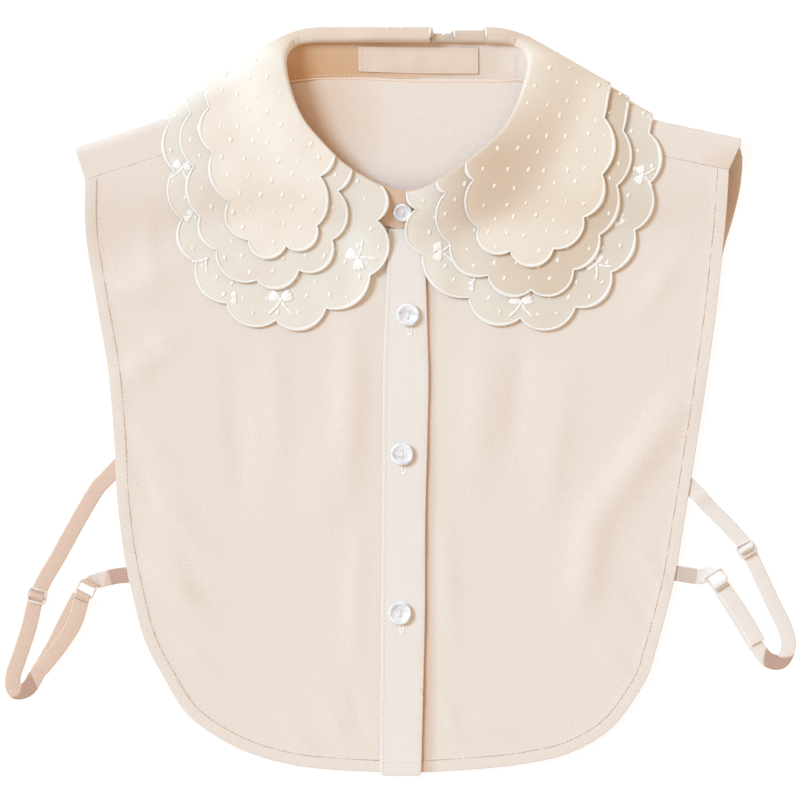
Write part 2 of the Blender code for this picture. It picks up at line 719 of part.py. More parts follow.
def over_placket():
    rows = [dict(zip(PLACKET_COLUMNS, row)) for row in PLACKET]
    left = [(row["left_x"], row["y"]) for row in rows]
    right = [(row["right_x"], row["y"]) for row in rows]
    middle = [((row["left_x"] + row["right_x"]) / 2.0, row["y"]) for row in rows]
    foot = [(left[-1][0] + FOOT_INSET, PLACKET_FOOT), (right[-1][0] - FOOT_INSET, PLACKET_FOOT)]
    outline = curve(left, PANEL_STEP) + foot + curve(right, PANEL_STEP)[::-1]
    middles = curve(middle, PANEL_STEP)
    return cloth_wall("over_placket", outline, middles, plain_surface(placket_height), 0.0, CREPE, "crepe")


def under_placket():
    left, right = UNDER_PLACKET_EDGES
    corners = [(left, PLACKET_TOP), (left, FRONT_FOOT), (right, FRONT_FOOT), (right, PLACKET_TOP)]
    outline = []
    for start, end in zip(corners, corners[1:] + corners[:1]):
        outline += line(start, end, PANEL_STEP)
    return cloth_wall("under_placket", outline, [], plain_surface(front_height), 0.0, CREPE, "crepe")


# Stand, label and buttons


def stand_surface(t, up):
    """The stand at row number t, from its seam (0) to just below the collar's fold (1)."""
    drop = UNDER_END_DROP * smooth(t, *UNDER_END_RAMP)
    seam = seam_point(t)
    top = fold_point(t) - outward(fold_point, t) * STAND_INSET - Vector((0.0, 0.0, STAND_DROP))
    return seam.lerp(top, up) - Vector((0.0, 0.0, drop))


def stand_out(t, up):
    """The stand's direction away from the neck."""
    around = stand_surface(t + SLOPE_STEP, up) - stand_surface(t - SLOPE_STEP, up)
    rise = stand_surface(t, up + SLOPE_STEP) - stand_surface(t, up - SLOPE_STEP)
    return rise.cross(around).normalized()


def stand_piece(name, spans, ups, offset, thickness, finish):
    """A strip that follows the stand, as a grid of stations and heights with a thickness."""
    upper, lower = [], []
    for t in spans:
        for up in ups:
            place, out = stand_surface(t, up), stand_out(t, up)
            upper.append(place + out * (offset + thickness / 2.0))
            lower.append(place + out * (offset - thickness / 2.0))
    rows, count = len(ups), len(upper)
    faces = []
    for i in range(len(spans) - 1):
        for j in range(rows - 1):
            a, b = i * rows + j, (i + 1) * rows + j
            faces.append((a, b, b + 1, a + 1))
            faces.append((a + count, a + 1 + count, b + 1 + count, b + count))
    last = (len(spans) - 1) * rows
    for j in range(rows - 1):
        faces.append((j + 1, j + 1 + count, j + count, j))
        faces.append((last + j, last + j + count, last + j + 1 + count, last + j + 1))
    for i in range(len(spans) - 1):
        a, b = i * rows, (i + 1) * rows
        faces.append((b, a, a + count, b + count))
        faces.append((a + rows - 1, b + rows - 1, b + rows - 1 + count, a + rows - 1 + count))
    return add_object(name, upper + lower, faces, finish)


def collar_stand():
    length = STAND_UNDER_END - STAND_OVER_END
    spans = [STAND_OVER_END + length * k / STAND_PIECES for k in range(STAND_PIECES + 1)]
    return stand_piece("collar_stand", spans, [0.0, 0.5, 1.0], 0.0, STAND_WALL, "crepe")


def label():
    start, end = LABEL_SPAN
    spans = [start + (end - start) * k / LABEL_PIECES for k in range(LABEL_PIECES + 1)]
    offset = -STAND_WALL / 2.0 - LABEL_GAP - LABEL_THICKNESS / 2.0
    return stand_piece("label", spans, list(LABEL_UP), offset, LABEL_THICKNESS, "label")


def button(name, radius, thickness, place, normal):
    """A turned disc with a rim, a dished face and two sewing holes."""
    profile = [
        (0.0, 0.0), (radius * 0.72, 0.0), (radius * 0.96, thickness * 0.32), (radius, thickness * 0.62),
        (radius * 0.92, thickness), (radius * 0.74, thickness * 0.92), (radius * 0.5, thickness * 0.62),
        (0.0, thickness * 0.58),
    ]
    shape = bmesh.new()
    verts = [shape.verts.new((r * MM, 0.0, z * MM)) for r, z in profile]
    for a, b in zip(verts, verts[1:]):
        shape.edges.new((a, b))
    bmesh.ops.spin(shape, geom=shape.edges[:] + shape.verts[:], cent=(0, 0, 0), axis=(0, 0, 1),
                   angle=2.0 * math.pi, steps=BUTTON_SIDES, use_merge=True, use_duplicate=False)
    bmesh.ops.remove_doubles(shape, verts=shape.verts, dist=1e-6)
    bmesh.ops.recalc_face_normals(shape, faces=shape.faces)
    mesh = bpy.data.meshes.new(name)
    shape.to_mesh(mesh)
    shape.free()
    mesh.materials.append(material("pearl"))
    obj = bpy.data.objects.new(name, mesh)
    bpy.context.scene.collection.objects.link(obj)
    obj.location = place * MM
    obj.rotation_euler = normal.to_track_quat("Z", "Y").to_euler()
    drill = bpy.data.objects.get("sewing_holes_" + str(radius)) or sewing_holes(radius, thickness)
    cut = obj.modifiers.new("sewing_holes", "BOOLEAN")
    drill_copy = drill.copy()
    bpy.context.scene.collection.objects.link(drill_copy)
    drill_copy.location = obj.location
    drill_copy.rotation_euler = obj.rotation_euler
    cut.object = drill_copy
    cut.operation = "DIFFERENCE"
    return obj


def sewing_holes(radius, thickness):
    """A hidden cutter of two round holes."""
    shape = bmesh.new()
    for sign in (-1.0, 1.0):
        made = bmesh.ops.create_cone(shape, cap_ends=True, segments=8, radius1=HOLE_RADIUS * MM,
                                     radius2=HOLE_RADIUS * MM, depth=thickness * 4.0 * MM)
        bmesh.ops.translate(shape, verts=made["verts"], vec=(0.0, sign * HOLE_SPREAD * MM, 0.0))
    mesh = bpy.data.meshes.new("sewing_holes")
    shape.to_mesh(mesh)
    shape.free()
    obj = bpy.data.objects.new("sewing_holes_" + str(radius), mesh)
    bpy.context.scene.collection.objects.link(obj)
    obj.hide_render = True
    obj.display_type = "WIRE"
    return obj


def buttons():
    for name, x, y in BUTTON_PLACES:
        normal = normal_of(plain_surface(placket_height), x, y)
        place = Vector((x, y, placket_height(x, y))) + normal * (CREPE / 2.0 + SEAM_GAP)
        button(name, BUTTON_RADIUS, BUTTON_THICKNESS, place, normal)
    t, up = BAND_BUTTON_PLACE, BAND_BUTTON_UP
    out = stand_out(t, up)
    place = stand_surface(t, up) + out * (STAND_WALL / 2.0 + SEAM_GAP)
    button("button_band", BAND_BUTTON_RADIUS, BAND_BUTTON_THICKNESS, place, out)


# Collar layers


def scallop(start, end, bulge, side):
    """Points on a round scallop from one cusp towards the next, without its end."""
    start, end = Vector(start), Vector(end)
    chord = end - start
    out = Vector((chord.y, -chord.x)).normalized() * side
    half = chord.length / 2.0
    radius = (half * half + bulge * bulge) / (2.0 * bulge)
    reach = math.asin(min(half / radius, 1.0))
    if bulge > half:
        reach = math.pi - reach
    centre = (start + end) / 2.0 + out * (bulge - radius)
    points = []
    for k in range(SCALLOP_SEGMENTS):
        angle = -reach + 2.0 * reach * k / SCALLOP_SEGMENTS
        place = centre + out * radius * math.cos(angle) + chord.normalized() * radius * math.sin(angle)
        points.append(tuple(place))
    return points


def collar_outline(spec):
    """Round one layer, opened out: fold, front end, front scallops, back scallops, back end."""
    front_t, back_t = spec["fold"]
    side = spec["side"]
    low, high = sorted((front_t, back_t))
    stations = [k / FOLD_PIECES for k in range(len(NECK) * FOLD_PIECES)]
    stations = [low] + [t for t in stations if low + 0.1 < t < high - 0.1] + [high]
    if back_t > front_t:
        stations.reverse()
    fold = [tuple(fold_point(t).xy) for t in stations]
    rows = [dict(zip(SCALLOP_COLUMNS, row)) for row in spec["cusps"]]
    cusps = [fold[-1]] + [(row["cusp_x"], row["cusp_y"]) for row in rows]
    bulges = [spec["first_bulge"]] + [row["bulge"] for row in rows]
    reach_x, reach_y = spec["beyond"]
    back_x = fold[0][0]
    half_width = abs(side * reach_x - back_x)
    count = spec["back_scallops"]
    for k in range(1, count + 1):
        angle = math.radians(90.0 * k / count)
        x = back_x + side * half_width * math.cos(angle)
        cusps.append((x, BEYOND_CENTRE_Y + reach_y * math.sin(angle)))
        bulges.append(BACK_BULGE)
    corner = Vector(cusps[-1])
    for k in range(1, END_SCALLOPS + 1):
        bulges[-1] = END_BULGE
        cusps.append(tuple(corner.lerp(Vector(fold[0]), k / END_SCALLOPS)))
        bulges.append(END_BULGE)
    outline = []
    for i in range(len(cusps) - 1):
        outline += scallop(cusps[i], cusps[i + 1], bulges[i], side)
    outline.append(fold[0])
    finer = []
    for start, end in zip(outline, outline[1:]):
        gaps = [TURN.find(*p)[2] for p in (start, end)]
        turning = max(gaps) > TURN_ROWS[0] and min(gaps) < TURN_ROWS[-1]
        finer += line(start, end, TURN_EDGE_STEP) if turning else [start]
    return finer + fold[:-1]


def turn_stations():
    """Places about a step apart along the turn, with their outward directions."""
    stations = []
    for side, sign in (("left", -1.0), ("right", 1.0)):
        spec = TURN.sides[side]
        first = spec["centre"] + spec["out"] * TURN_RADIUS
        for k in range(9):
            stations.append((first + spec["along"] * COLLAR_STEP * (k + 0.5), spec["out"]))
        lean = math.atan2(spec["out"].x, spec["out"].y)
        for k in range(3):
            angle = lean * (k + 0.5) / 3.0
            out = Vector((math.sin(angle), math.cos(angle)))
            stations.append((spec["centre"] + out * TURN_RADIUS, out))
        top_width = abs(spec["centre"].x - CENTRE_BACK)
        for k in range(4):
            x = CENTRE_BACK + sign * top_width * (k + 0.5) / 4.0
            stations.append((Vector((x, TURN_TOP)), Vector((0.0, 1.0))))
    return stations


def turn_spread(x, y):
    """Opens the turn out further, so that its triangles lie along it."""
    _, out, beyond = TURN.find(x, y)
    first, last = TURN_ROWS[0], TURN_ROWS[-1]
    return Vector((x, y)) + out * TURN_SPREAD * (min(max(beyond, first), last) - first)


def collar_inner_points():
    """Shared inner points of all layers, denser where the collar turns to the back."""
    first, last = TURN_ROWS[0], TURN_ROWS[-1]
    points = []
    for x, y in grid(COLLAR_STEP):
        beyond = TURN.find(x, y)[2]
        if beyond < first - 3.0 or beyond > last + 4.0:
            points.append((x, y))
    for place, out in turn_stations():
        for beyond in TURN_ROWS:
            points.append(tuple(place + out * beyond))
    return points


def collar():
    inner = collar_inner_points()
    for name, spec in LAYERS.items():
        level = spec["level"] * LAYER_PITCH
        outline = collar_outline(spec)
        cloth_wall(name, outline, inner, collar_surface, level, ORGANZA, "organza", EDGE_CLEAR, turn_spread)


# Straps


def tape(name, rows, width, thickness):
    """A flat ribbon along a route, its face level."""
    pieces = curve(rows, TAPE_STEP)
    route = [Vector(p) for p in pieces]
    points = []
    for i, place in enumerate(route):
        ahead = (route[min(i + 1, len(route) - 1)] - route[max(i - 1, 0)]).normalized()
        across = Vector((-ahead.y, ahead.x, 0.0)).normalized() * width / 2.0
        up = ahead.cross(across).normalized() * thickness / 2.0
        points += [place - across - up, place + across - up, place + across + up, place - across + up]
    faces = [(0, 1, 2, 3)]
    for i in range(len(route) - 1):
        for j in range(4):
            a, b = 4 * i + j, 4 * i + (j + 1) % 4
            faces.append((b, a, a + 4, b + 4))
    last = 4 * (len(route) - 1)
    faces.append((last + 3, last + 2, last + 1, last))
    return add_object(name, points, faces, "tape")


def wire_frame(name, centre, toward, base, with_bar):
    """A rounded flat frame with an optional middle bar, as a slider or a ring."""
    half_across, half_along = FRAME_HALF
    shape = bmesh.new()

    def loop(inset, z):
        verts = []
        for sx, sy, first in ((1, 1, 0), (-1, 1, 90), (-1, -1, 180), (1, -1, 270)):
            radius = max(FRAME_CORNER - inset, 0.4)
            cx = sx * (half_across - inset - radius)
            cy = sy * (half_along - inset - radius)
            for k in range(4):
                angle = math.radians(first + 30.0 * k)
                place = (cx + radius * math.cos(angle), cy + radius * math.sin(angle), z)
                verts.append(shape.verts.new(place))
        return verts

    outer_low, outer_high = loop(0.0, base), loop(0.0, base + FRAME_HEIGHT)
    inner_low, inner_high = loop(FRAME_WIRE, base), loop(FRAME_WIRE, base + FRAME_HEIGHT)
    count = len(outer_low)
    for i in range(count):
        j = (i + 1) % count
        shape.faces.new((outer_low[i], outer_low[j], outer_high[j], outer_high[i]))
        shape.faces.new((inner_low[j], inner_low[i], inner_high[i], inner_high[j]))
        shape.faces.new((outer_high[i], outer_high[j], inner_high[j], inner_high[i]))
        shape.faces.new((outer_low[j], outer_low[i], inner_low[i], inner_low[j]))
    heading = Vector(toward) - Vector(centre)
    turn = math.atan2(heading.y, heading.x) - math.pi / 2.0
    for vert in shape.verts:
        x, y, z = vert.co
        vert.co = (x * MM, y * MM, z * MM)
    mesh = bpy.data.meshes.new(name)
    bmesh.ops.recalc_face_normals(shape, faces=shape.faces)
    shape.to_mesh(mesh)
    shape.free()
    mesh.materials.append(material("clear"))
    obj = bpy.data.objects.new(name, mesh)
    bpy.context.scene.collection.objects.link(obj)
    obj.location = (centre[0] * MM, centre[1] * MM, 0.0)
    obj.rotation_euler = (0.0, 0.0, turn)
    if with_bar:
        add_bar(obj, half_across, base)
    return obj


def add_bar(frame, half_across, base):
    """Joins the slider's middle bar to its frame."""
    shape = bmesh.new()
    bmesh.ops.create_cube(shape, size=1.0)
    length = 2.0 * half_across - FRAME_WIRE
    for vert in shape.verts:
        vert.co.x *= length * MM
        vert.co.y *= FRAME_WIRE * 0.8 * MM
        vert.co.z = (base + FRAME_HEIGHT / 2.0) * MM + vert.co.z * FRAME_HEIGHT * 0.7 * MM
    mesh = bpy.data.meshes.new(frame.name + "_bar")
    shape.to_mesh(mesh)
    shape.free()
    bar = bpy.data.objects.new(frame.name + "_bar", mesh)
    bpy.context.scene.collection.objects.link(bar)
    bar.location = frame.location
    bar.rotation_euler = frame.rotation_euler
    bar.hide_render = True
    bar.display_type = "WIRE"
    join = frame.modifiers.new("middle_bar", "BOOLEAN")
    join.object = bar
    join.operation = "UNION"


def straps():
    for side, spec in STRAPS.items():
        tape("strap_" + side, spec["strap"], TAPE_WIDTH, TAPE)
        tape("strap_return_" + side, spec["return"], TAPE_WIDTH, TAPE)
        tape("tab_" + side, spec["tab"], TAPE_WIDTH, TAPE)
        wire_frame("slider_" + side, spec["slider"]["centre"], spec["slider"]["toward"], SLIDER_BASE, True)
        wire_frame("ring_" + side, spec["ring"]["centre"], spec["ring"]["toward"], RING_BASE, False)


clear_scene()
back_panel()
front_panel("front_left", "left", LEFT_SIDE, LEFT_FRONT_EDGE, 0.1)
front_panel("front_right", "right", RIGHT_SIDE, RIGHT_FRONT_EDGE, 15.7)
over_placket()
under_placket()
collar_stand()
label()
buttons()
collar()
straps()
bpy.context.view_layer.update()
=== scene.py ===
"""Looks of a detachable collar laid flat: crepe bib, scalloped organza collar, pearl buttons, straps.

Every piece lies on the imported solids' own surfaces, which the first half of this file repeats.
Lengths are in millimetres until a mesh is written.
"""

import math
import random

import bmesh
import bpy
from mathutils import Matrix, Vector
from mathutils.kdtree import KDTree


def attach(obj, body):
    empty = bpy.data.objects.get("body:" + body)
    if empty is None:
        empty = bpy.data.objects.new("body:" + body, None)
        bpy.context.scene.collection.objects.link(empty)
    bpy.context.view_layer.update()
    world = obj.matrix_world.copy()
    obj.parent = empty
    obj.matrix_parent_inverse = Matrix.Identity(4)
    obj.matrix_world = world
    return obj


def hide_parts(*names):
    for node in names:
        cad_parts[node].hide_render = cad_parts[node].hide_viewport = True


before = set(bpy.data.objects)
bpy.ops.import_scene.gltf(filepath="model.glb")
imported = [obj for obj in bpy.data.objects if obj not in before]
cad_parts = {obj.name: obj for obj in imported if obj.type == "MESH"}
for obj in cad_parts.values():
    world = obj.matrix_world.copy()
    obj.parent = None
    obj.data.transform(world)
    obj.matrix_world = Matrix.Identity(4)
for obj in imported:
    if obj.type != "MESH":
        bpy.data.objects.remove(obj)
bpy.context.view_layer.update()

MM = 0.001
RANDOM = random.Random(7)

# Fineness of the cloth meshes
PANEL_FINE = 2.4
COLLAR_FINE = 1.5
SCALLOP_SEGMENTS = 12
PANEL_STEP = 6.0

# Short steps over which slopes and directions are measured
SLOPE_STEP = 0.05
SEAT_STEP = 0.1
NECK_STEP = 0.02

# Cloth
CREPE = 1.2
SEAM_GAP = 0.4
LAYER_PITCH = 1.6

# Heights of the middle of each wall
BACK_REST = 0.6
BACK_OVER_COLLAR = 5.2
FRONT_ON_BACK = 1.6
PLACKET_ON_FRONT = 1.6
SHOULDER_TOP = 8.0
COLLAR_BELOW = 3.7

# Shoulders: the fold line of the cloth and the depth of the forward seam below it
SHOULDERS = {
    "left": {"tip": (-162.0, 126.2), "neck": (-60.7, 159.1), "armhole_inset": 0.0},
    "right": {"tip": (170.2, 131.0), "neck": (67.5, 152.5), "armhole_inset": 3.0},
}
SHOULDER_ROLL = 3.4
PAST_NECK = 1.0
SEAM_DEPTH = 16.5
SHOULDER_SLOPE_END = 62.0

# Where the collar's hidden back lifts the back panel
LIFT_Y = (84.0, 116.0)
LIFT_X = (122.0, 152.0)
CENTRE_BACK = 3.0

# The neck, clockwise from centre front: x, y, z of the collar's fold and of the stand's seam below it
NECK = [
    (2.0, 104.0, 13.2, 2.0, 87.0, 4.8),
    (-24.0, 115.0, 14.2, -27.5, 98.0, 5.0),
    (-43.0, 133.0, 15.5, -49.0, 118.0, 6.6),
    (-52.0, 146.5, 16.5, -58.0, 131.5, 7.6),
    (-58.0, 165.0, 16.5, -61.0, 148.5, 7.8),
    (-57.5, 175.0, 14.0, -59.5, 157.5, 7.2),
    (-49.0, 180.2, 10.0, -51.0, 160.0, 5.6),
    (-30.0, 181.0, 8.4, -30.0, 161.0, 5.1),
    (8.5, 181.0, 8.2, 8.5, 159.5, 5.0),
    (50.0, 180.4, 8.6, 50.0, 159.5, 5.1),
    (60.0, 178.0, 10.5, 61.0, 160.0, 5.8),
    (65.5, 170.5, 14.5, 67.5, 154.0, 7.4),
    (63.0, 158.5, 16.5, 67.0, 142.5, 7.8),
    (57.5, 144.5, 16.5, 62.0, 129.5, 7.6),
    (48.5, 131.0, 15.5, 52.5, 115.5, 6.6),
    (26.0, 113.5, 14.2, 30.0, 97.0, 5.0),
]
STAND_INSET = 0.8
STAND_DROP = 0.95
STAND_OVER_END = -0.4
STAND_UNDER_END = 16.3
STAND_WALL = 1.0
UNDER_END_DROP = 1.8
UNDER_END_RAMP = (14.6, 15.4)

# The line round which the collar turns from the front to below the back
TURN_TOP = 183.2
TURN_CORNERS = {"left": (-50.75, 183.2), "right": (55.0, 183.2)}
TURN_ENDS = {"left": (-114.2, 144.1), "right": (126.5, 143.0)}
TURN_RADIUS = 42.0
TURN_STRETCH = 3.6
TURN_DEPTH = (2.0, 5.0)
TURN_DEPTH_X = (47.0, 97.0)
FALL_LENGTH = 34.0
FALL_REST = 1.9
PLACKET_REST = 1.4
PLACKET_HALF = (15.0, 30.0)
BELOW_LEAN = 0.5

# Soft folds pressed into the fronts, each a ridge from x, y to x, y with its half width and height
RIDGES = [
    (-24.0, 42.0, -27.0, -48.0, 8.0, 1.7),
    (-40.0, -20.0, -38.0, -66.0, 9.0, 0.8),
    (141.0, 2.0, 96.0, -62.0, 9.5, 2.3),
    (98.0, -58.0, 90.0, -104.0, 8.5, 1.9),
    (44.0, 34.0, 36.0, -42.0, 9.0, 1.1),
    (-139.0, -34.0, -96.0, -70.0, 8.0, 1.2),
    (-132.0, -82.0, -92.0, -96.0, 8.0, 1.1),
    (-148.0, 52.0, -110.0, 66.0, 7.0, 1.0),
    (-144.0, 6.0, -112.0, 32.0, 7.0, 1.0),
    (-116.0, -46.0, -106.0, -100.0, 9.0, 0.9),
]
RIDGE_FADE = 0.12

# Outer edges of the panels, from the armhole down to the placket
LEFT_SIDE = [
    (-157.4, 109.8), (-156.8, 84.0), (-151.6, 50.0), (-145.6, 15.0), (-142.6, -20.0),
    (-141.0, -50.0), (-137.8, -76.0), (-133.0, -99.0), (-127.6, -119.0), (-118.5, -137.0),
    (-105.0, -157.5), (-82.0, -172.6), (-58.0, -180.6), (-34.0, -183.8), (-5.0, -185.2),
]
RIGHT_SIDE = [
    (163.0, 112.0), (162.6, 93.0), (160.6, 72.0), (157.6, 44.0), (151.6, 2.0),
    (146.6, -30.0), (141.6, -61.0), (136.4, -91.0), (127.4, -125.0), (121.6, -141.0),
    (105.6, -163.0), (85.0, -175.4), (61.5, -181.0), (37.5, -183.6), (11.0, -185.2),
]
BACK_RIGHT_ARMHOLE = [(170.6, 129.4), (171.6, 122.0), (170.6, 108.0), (167.0, 92.0), (161.4, 72.0)]
BACK_LEFT_ARMHOLE = [(-161.0, 122.6), (-157.6, 109.8)]
BACK_INSET = 0.6

# Placket, as rows of y and the x of its left and right edges
PLACKET = [
    (86.0, -5.6, 12.4), (64.0, -6.2, 12.6), (30.0, -7.6, 13.6), (10.0, -8.0, 14.0),
    (-20.0, -8.4, 13.4), (-60.0, -8.6, 12.4), (-105.0, -9.0, 12.2), (-150.0, -9.4, 11.2),
    (-184.0, -9.6, 10.4),
]
PLACKET_LEFT = [(x, y) for y, x, _ in PLACKET]
PLACKET_RIGHT = [(x, y) for y, _, x in PLACKET]
PLACKET_FOOT = -186.6
FOOT_INSET = 0.8
PLACKET_TOP = 85.4
FRONT_FOOT = -185.0
LEFT_FRONT_EDGE = -5.4
UNDER_PLACKET_EDGES = (-5.0, 9.6)
RIGHT_FRONT_EDGE = 10.0

# Buttons: two holes, a raised rim and a dished middle
BUTTON_RADIUS = 5.75
BAND_BUTTON_RADIUS = 4.75
BUTTON_THICKNESS = 2.2
BAND_BUTTON_THICKNESS = 1.7
HOLE_RADIUS = 0.85
HOLE_SPREAD = 1.7
BUTTON_PLACES = [("button_upper", 4.0, 43.0), ("button_middle", 1.0, -26.5), ("button_lower", 0.0, -106.0)]
BAND_BUTTON_PLACE = 0.02
BAND_BUTTON_UP = 0.42

# Label, as stretches of the stand
LABEL_SPAN = (7.28, 8.68)
LABEL_UP = (0.2, 0.82)
LABEL_GAP = 0.35

# Collar layers: x and y of the cusps between scallops, and each scallop's bulge beyond its chord
LAYERS = {
    "collar_under_left": {
        "level": 0, "fold": (0.42, 8.16), "side": -1,
        "cusps": [
            (-11.5, 90.0, 7.5), (-15.0, 63.0, 6.5), (-37.0, 46.5, 7.5), (-62.0, 40.5, 7.0),
            (-86.5, 49.0, 6.0), (-101.5, 69.5, 5.5), (-108.5, 91.0, 5.0), (-112.5, 115.0, 4.5),
            (-114.5, 138.5, 4.0),
        ],
        "first_bulge": 4.0, "beyond": (115.2, 93.0),
    },
    "collar_middle_left": {
        "level": 1, "fold": (1.0, 8.152), "side": -1,
        "cusps": [
            (-31.0, 105.0, 6.5), (-34.0, 80.5, 7.5), (-50.5, 65.5, 6.5), (-71.5, 60.5, 7.0),
            (-91.5, 75.5, 4.0), (-99.5, 92.5, 5.0), (-102.5, 117.0, 6.0), (-104.0, 143.0, 4.0),
        ],
        "first_bulge": 1.5, "beyond": (105.0, 82.0),
    },
    "collar_top_left": {
        "level": 2, "fold": (1.4, 8.145), "side": -1,
        "cusps": [
            (-39.5, 112.5, 5.0), (-41.5, 88.0, 7.0), (-57.0, 77.5, 7.5), (-75.5, 80.5, 6.0),
            (-85.0, 100.5, 5.0), (-93.0, 124.0, 5.5), (-95.0, 146.0, 3.0),
        ],
        "first_bulge": 1.5, "beyond": (96.0, 71.0),
    },
    "collar_under_right": {
        "level": 0, "fold": (15.94, 8.17), "side": 1,
        "cusps": [
            (8.5, 95.5, 7.0), (11.5, 73.5, 7.5), (34.5, 52.0, 8.0), (60.0, 41.5, 8.5),
            (87.5, 47.0, 6.5), (105.5, 64.5, 4.5), (117.0, 85.5, 5.5), (124.0, 108.5, 6.0),
            (124.0, 133.5, 3.0),
        ],
        "first_bulge": 1.5, "beyond": (123.0, 93.0),
    },
    "collar_middle_right": {
        "level": 1, "fold": (15.31, 8.42), "side": 1,
        "cusps": [
            (23.0, 104.0, 6.0), (25.0, 79.0, 7.0), (44.0, 63.0, 6.5), (65.5, 55.5, 7.5),
            (86.5, 65.5, 4.5), (99.5, 83.0, 4.5), (108.0, 107.5, 5.5), (111.0, 134.5, 4.0),
        ],
        "first_bulge": 1.5, "beyond": (109.0, 82.0),
    },
    "collar_top_right": {
        "level": 2, "fold": (14.7, 8.79), "side": 1,
        "cusps": [
            (36.5, 110.5, 5.5), (39.0, 87.5, 7.0), (55.0, 75.0, 8.0), (76.5, 76.0, 5.5),
            (91.5, 92.5, 5.0), (100.5, 113.0, 5.5), (101.5, 141.0, 3.0),
        ],
        "first_bulge": 1.5, "beyond": (101.5, 71.0),
    },
}
BEYOND_CENTRE_Y = 150.0
FOLD_PIECES = 12
MOST_BACK_SCALLOPS = 7
BACK_BULGE = 5.0
END_BULGE = 1.0
END_SCALLOPS = 2

# Straps: elastic tape that lies on the surface, as routes (x, y, z) of its centre line
TAPE_WIDTH = 7.0
STRAPS = {
    "left": {
        "strap": [
            (-144.4, -36.2, 1.8), (-147.2, -39.2, 1.3), (-152.2, -44.9, 0.6), (-161.8, -61.2, 0.5),
            (-170.8, -77.6, 0.5), (-178.2, -90.3, 0.5), (-182.4, -100.0, 0.5), (-185.5, -113.0, 0.5),
            (-190.0, -127.0, 0.5), (-193.6, -138.0, 0.5), (-192.4, -145.0, 0.5), (-186.0, -143.6, 0.5),
            (-180.8, -135.3, 0.5), (-173.6, -123.4, 0.5), (-166.9, -109.9, 0.5), (-160.4, -97.4, 0.5),
        ],
        "return": [
            (-179.5, -134.0, 1.9), (-170.5, -123.0, 1.9), (-162.9, -111.1, 1.9), (-156.6, -97.6, 1.9),
        ],
        "tab": [(-136.7, -86.9, 2.2), (-142.0, -87.5, 1.4), (-149.5, -89.2, 1.5), (-155.4, -90.9, 1.8)],
        "slider": {"centre": (-181.4, -97.4), "toward": (-185.4, -113.0)},
        "ring": {"centre": (-156.9, -93.9), "toward": (-165.4, -110.8)},
    },
    "right": {
        "strap": [
            (147.3, -45.2, 2.2), (150.0, -48.0, 1.6), (155.0, -53.6, 0.6), (164.0, -62.5, 0.5),
            (172.5, -72.5, 0.5), (179.0, -85.5, 0.5), (186.0, -100.5, 0.5), (192.0, -113.0, 0.5),
            (194.0, -122.5, 0.5), (190.4, -130.0, 0.5), (183.4, -129.0, 0.5), (177.0, -121.0, 0.5),
            (171.5, -112.0, 0.5), (165.6, -102.5, 0.5), (158.8, -91.6, 0.5),
        ],
        "return": [(178.6, -120.6, 1.9), (173.4, -111.4, 1.9), (167.6, -102.2, 1.9), (160.3, -91.0, 1.9)],
        "tab": [(138.2, -86.1, 2.2), (143.0, -86.8, 1.4), (149.5, -87.7, 1.5), (155.6, -88.6, 1.8)],
        "slider": {"centre": (173.0, -74.0), "toward": (179.0, -85.5)},
        "ring": {"centre": (158.2, -88.6), "toward": (167.2, -102.2)},
    },
}
FRAME_HALF = (5.0, 4.0)
FRAME_CORNER = 1.6
FRAME_WIRE = 1.4
FRAME_HEIGHT = 1.5
SLIDER_BASE = 1.4
RING_BASE = 2.7


def smooth(value, low, high):
    """0 below low, 1 above high, with soft ends."""
    t = min(max((value - low) / (high - low), 0.0), 1.0)
    return t * t * (3.0 - 2.0 * t)


def through(rows, t, closed=False):
    """A point at row number t on the smooth curve through the rows."""
    count = len(rows)
    if not closed:
        t = min(max(t, 0.0), count - 1.0)
    index = math.floor(t)
    if not closed:
        index = min(index, count - 2)
    f = t - index

    near = [rows[i % count if closed else min(max(i, 0), count - 1)] for i in range(index - 1, index + 3)]
    return tuple(
        0.5 * (2 * b + (c - a) * f + (2 * a - 5 * b + 4 * c - d) * f * f
               + (3 * b - a - 3 * c + d) * f ** 3)
        for a, b, c, d in zip(*near)
    )


def curve(rows, step):
    """Points about a step apart on the smooth curve through the rows."""
    points = []
    for i in range(len(rows) - 1):
        length = math.dist(rows[i], rows[i + 1])
        pieces = max(1, round(length / step))
        points += [through(rows, i + k / pieces) for k in range(pieces)]
    return points + [tuple(rows[-1])]


def line(start, end, step):
    """Points about a step apart on a straight line, without its end."""
    pieces = max(1, round(math.dist(start, end) / step))
    return [tuple(a + (b - a) * k / pieces for a, b in zip(start, end)) for k in range(pieces)]


def fold_point(t):
    return Vector(through(NECK, t, closed=True)[:3])


def seam_point(t):
    return Vector(through(NECK, t, closed=True)[3:])


def outward(point_at, t):
    """The level direction away from the neck opening at row number t."""
    ahead = point_at(t + SLOPE_STEP) - point_at(t - SLOPE_STEP)
    return Vector((-ahead.y, ahead.x, 0.0)).normalized()


FOLD_SAMPLES = 24
FOLD_RING = [fold_point(k / FOLD_SAMPLES) for k in range(FOLD_SAMPLES * len(NECK))]
FOLD_TREE = KDTree(len(FOLD_RING))
for index, point in enumerate(FOLD_RING):
    FOLD_TREE.insert((point.x, point.y, 0.0), index)
FOLD_TREE.balance()


